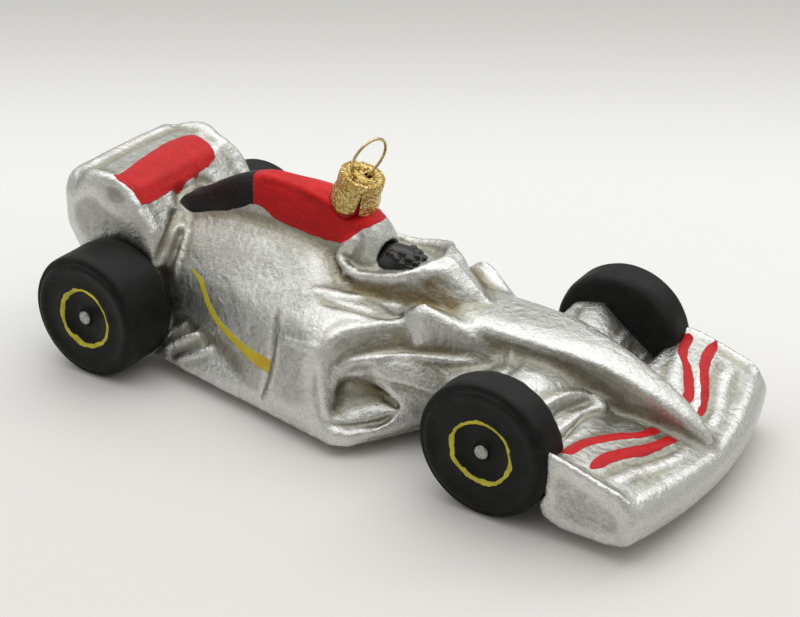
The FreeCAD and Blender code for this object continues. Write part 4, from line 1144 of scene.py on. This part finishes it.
cap_gold = gilt()
crown = set_out("crown", crown_mesh())
wall = crown.modifiers.new("sheet", "SOLIDIFY")
wall.thickness = cap_sheet
wall.offset = -1
cap_blob = bmesh.new()
cap_blob.from_mesh(plain_mesh(crown, "crown"))
for radius, size, count, height in ropes:
    seed = set_out("rope", bpy.data.meshes.new("rope"))
    rope.use_on(seed, Radius=radius * MM, Bead=size * MM, Count=count, Height=height * MM, Finish=cap_gold)
    cap_blob.from_mesh(plain_mesh(seed, "rope"))
cap_blob.transform(cap_lean)
cap_mesh = bpy.data.meshes.new("cap_crown")
cap_blob.to_mesh(cap_mesh)
cap_blob.free()
smooth_faces(cap_mesh)
cap_mesh.materials.append(cap_gold)
cap_crown = set_out("cap_crown", cap_mesh)
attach(cap_crown, "cap")
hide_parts("cap")


# Loop: a ring of thin pale gilt wire, its two ends sprung apart inside the neck.

finish = Finish("pale_gilt_wire")
grain = finish.noise(0.8, 3.0, 0.6)
wire_gilt = finish.surface(
    Base_Color=finish.blend(grain.ramp(0.3, 0.7), (0.74, 0.58, 0.30), (0.44, 0.33, 0.15)),
    Roughness=0.18 + 0.14 * grain, Metallic=1.0, Normal=finish.bumps((grain, 0.03)))
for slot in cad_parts["hanger_loop"].material_slots:
    slot.material = wire_gilt


# Stage: a plain pale floor with painted shade, a little darker and warmer near the camera and
# much darker far behind, soft light from above, and the camera. Distances over the floor are
# measured away from the camera, in millimetres.

azimuth, elevation, roll = math.radians(32.497), math.radians(27.887), math.radians(0.972)
back = Vector((math.sin(azimuth) * math.cos(elevation), -math.cos(azimuth) * math.cos(elevation),
               math.sin(elevation)))
floor_half = 3.0
floor_near_shade_until, floor_far_shade_from = (-20, 30), (90, 260)
floor_mesh = bpy.data.meshes.new("stage_floor")
floor_mesh.from_pydata([(x * floor_half, y * floor_half, 0) for x, y in ((-1, -1), (1, -1), (1, 1), (-1, 1))],
                       [], [(0, 1, 2, 3)])
stage_floor = set_out("stage_floor", floor_mesh)
pale = Finish("pale_floor")
onward = pale.y * math.cos(azimuth) - pale.x * math.sin(azimuth)
# Painted shade on the floor: darker and warmer near the camera, darker far behind.
near = pale.blend(onward.ramp(*floor_near_shade_until), (0.765, 0.745, 0.725), (0.835, 0.835, 0.815))
floor_mesh.materials.append(pale.surface(
    Base_Color=pale.blend(onward.ramp(*floor_far_shade_from), near, (0.50, 0.49, 0.47)), Roughness=0.6))
lamp_aim = Vector((0, 0, 0.015))


def soft_lamp(name, place, size, power):
    """A square lamp turned towards the ornament."""
    lamp = bpy.data.lights.new(name, "AREA")
    lamp.size = size
    lamp.energy = power
    thing = set_out(name, lamp)
    thing.location = place
    thing.rotation_euler = (lamp_aim - thing.location).to_track_quat("-Z", "Y").to_euler()


soft_lamp("lamp_over", (-0.12, 0.22, 0.85), 1.2, 4.0)
soft_lamp("lamp_back", (0.25, 0.60, 0.55), 0.16, 0.4)

# The room: pale above, greyer at the horizon, and browner behind the camera.
world = bpy.data.worlds.new("plain_world")
bpy.context.scene.world = world
world.use_nodes = True
sky = Tree(world.node_tree)
way = sky.node("ShaderNodeTexCoord", take="Generated")
up = sky.node("ShaderNodeSeparateXYZ", None, {0: way}, take=2)
room = sky.node("ShaderNodeVectorMath", {"operation": "DOT_PRODUCT"}, {0: way, 1: back}, take="Value")
tone = sky.blend(up.ramp(0.0, 0.8), (0.34, 0.34, 0.315), (1.15, 1.15, 1.14))
tone = sky.blend(room.ramp(0.60, 0.98) * 0.75, tone, (0.24, 0.22, 0.175))
light = sky.node("ShaderNodeBackground", None, {"Color": tone, "Strength": 0.82})
sky.node("ShaderNodeOutputWorld", None, {"Surface": light})

bpy.context.scene.view_settings.view_transform = "Standard"

camera_distance = 358.82 * MM
target = Vector((-2.95, 4.41, 15.01)) * MM
camera_data = bpy.data.cameras.new("camera")
camera_data.lens = 83.94
camera_data.sensor_width = 36.0
camera_data.clip_start = 0.01
camera = set_out("camera", camera_data)
camera.location = target + back * camera_distance
camera.rotation_euler = (back.to_track_quat("Z", "Y").to_matrix() @ Matrix.Rotation(roll, 3, "Z")).to_euler()
bpy.context.scene.camera = camera
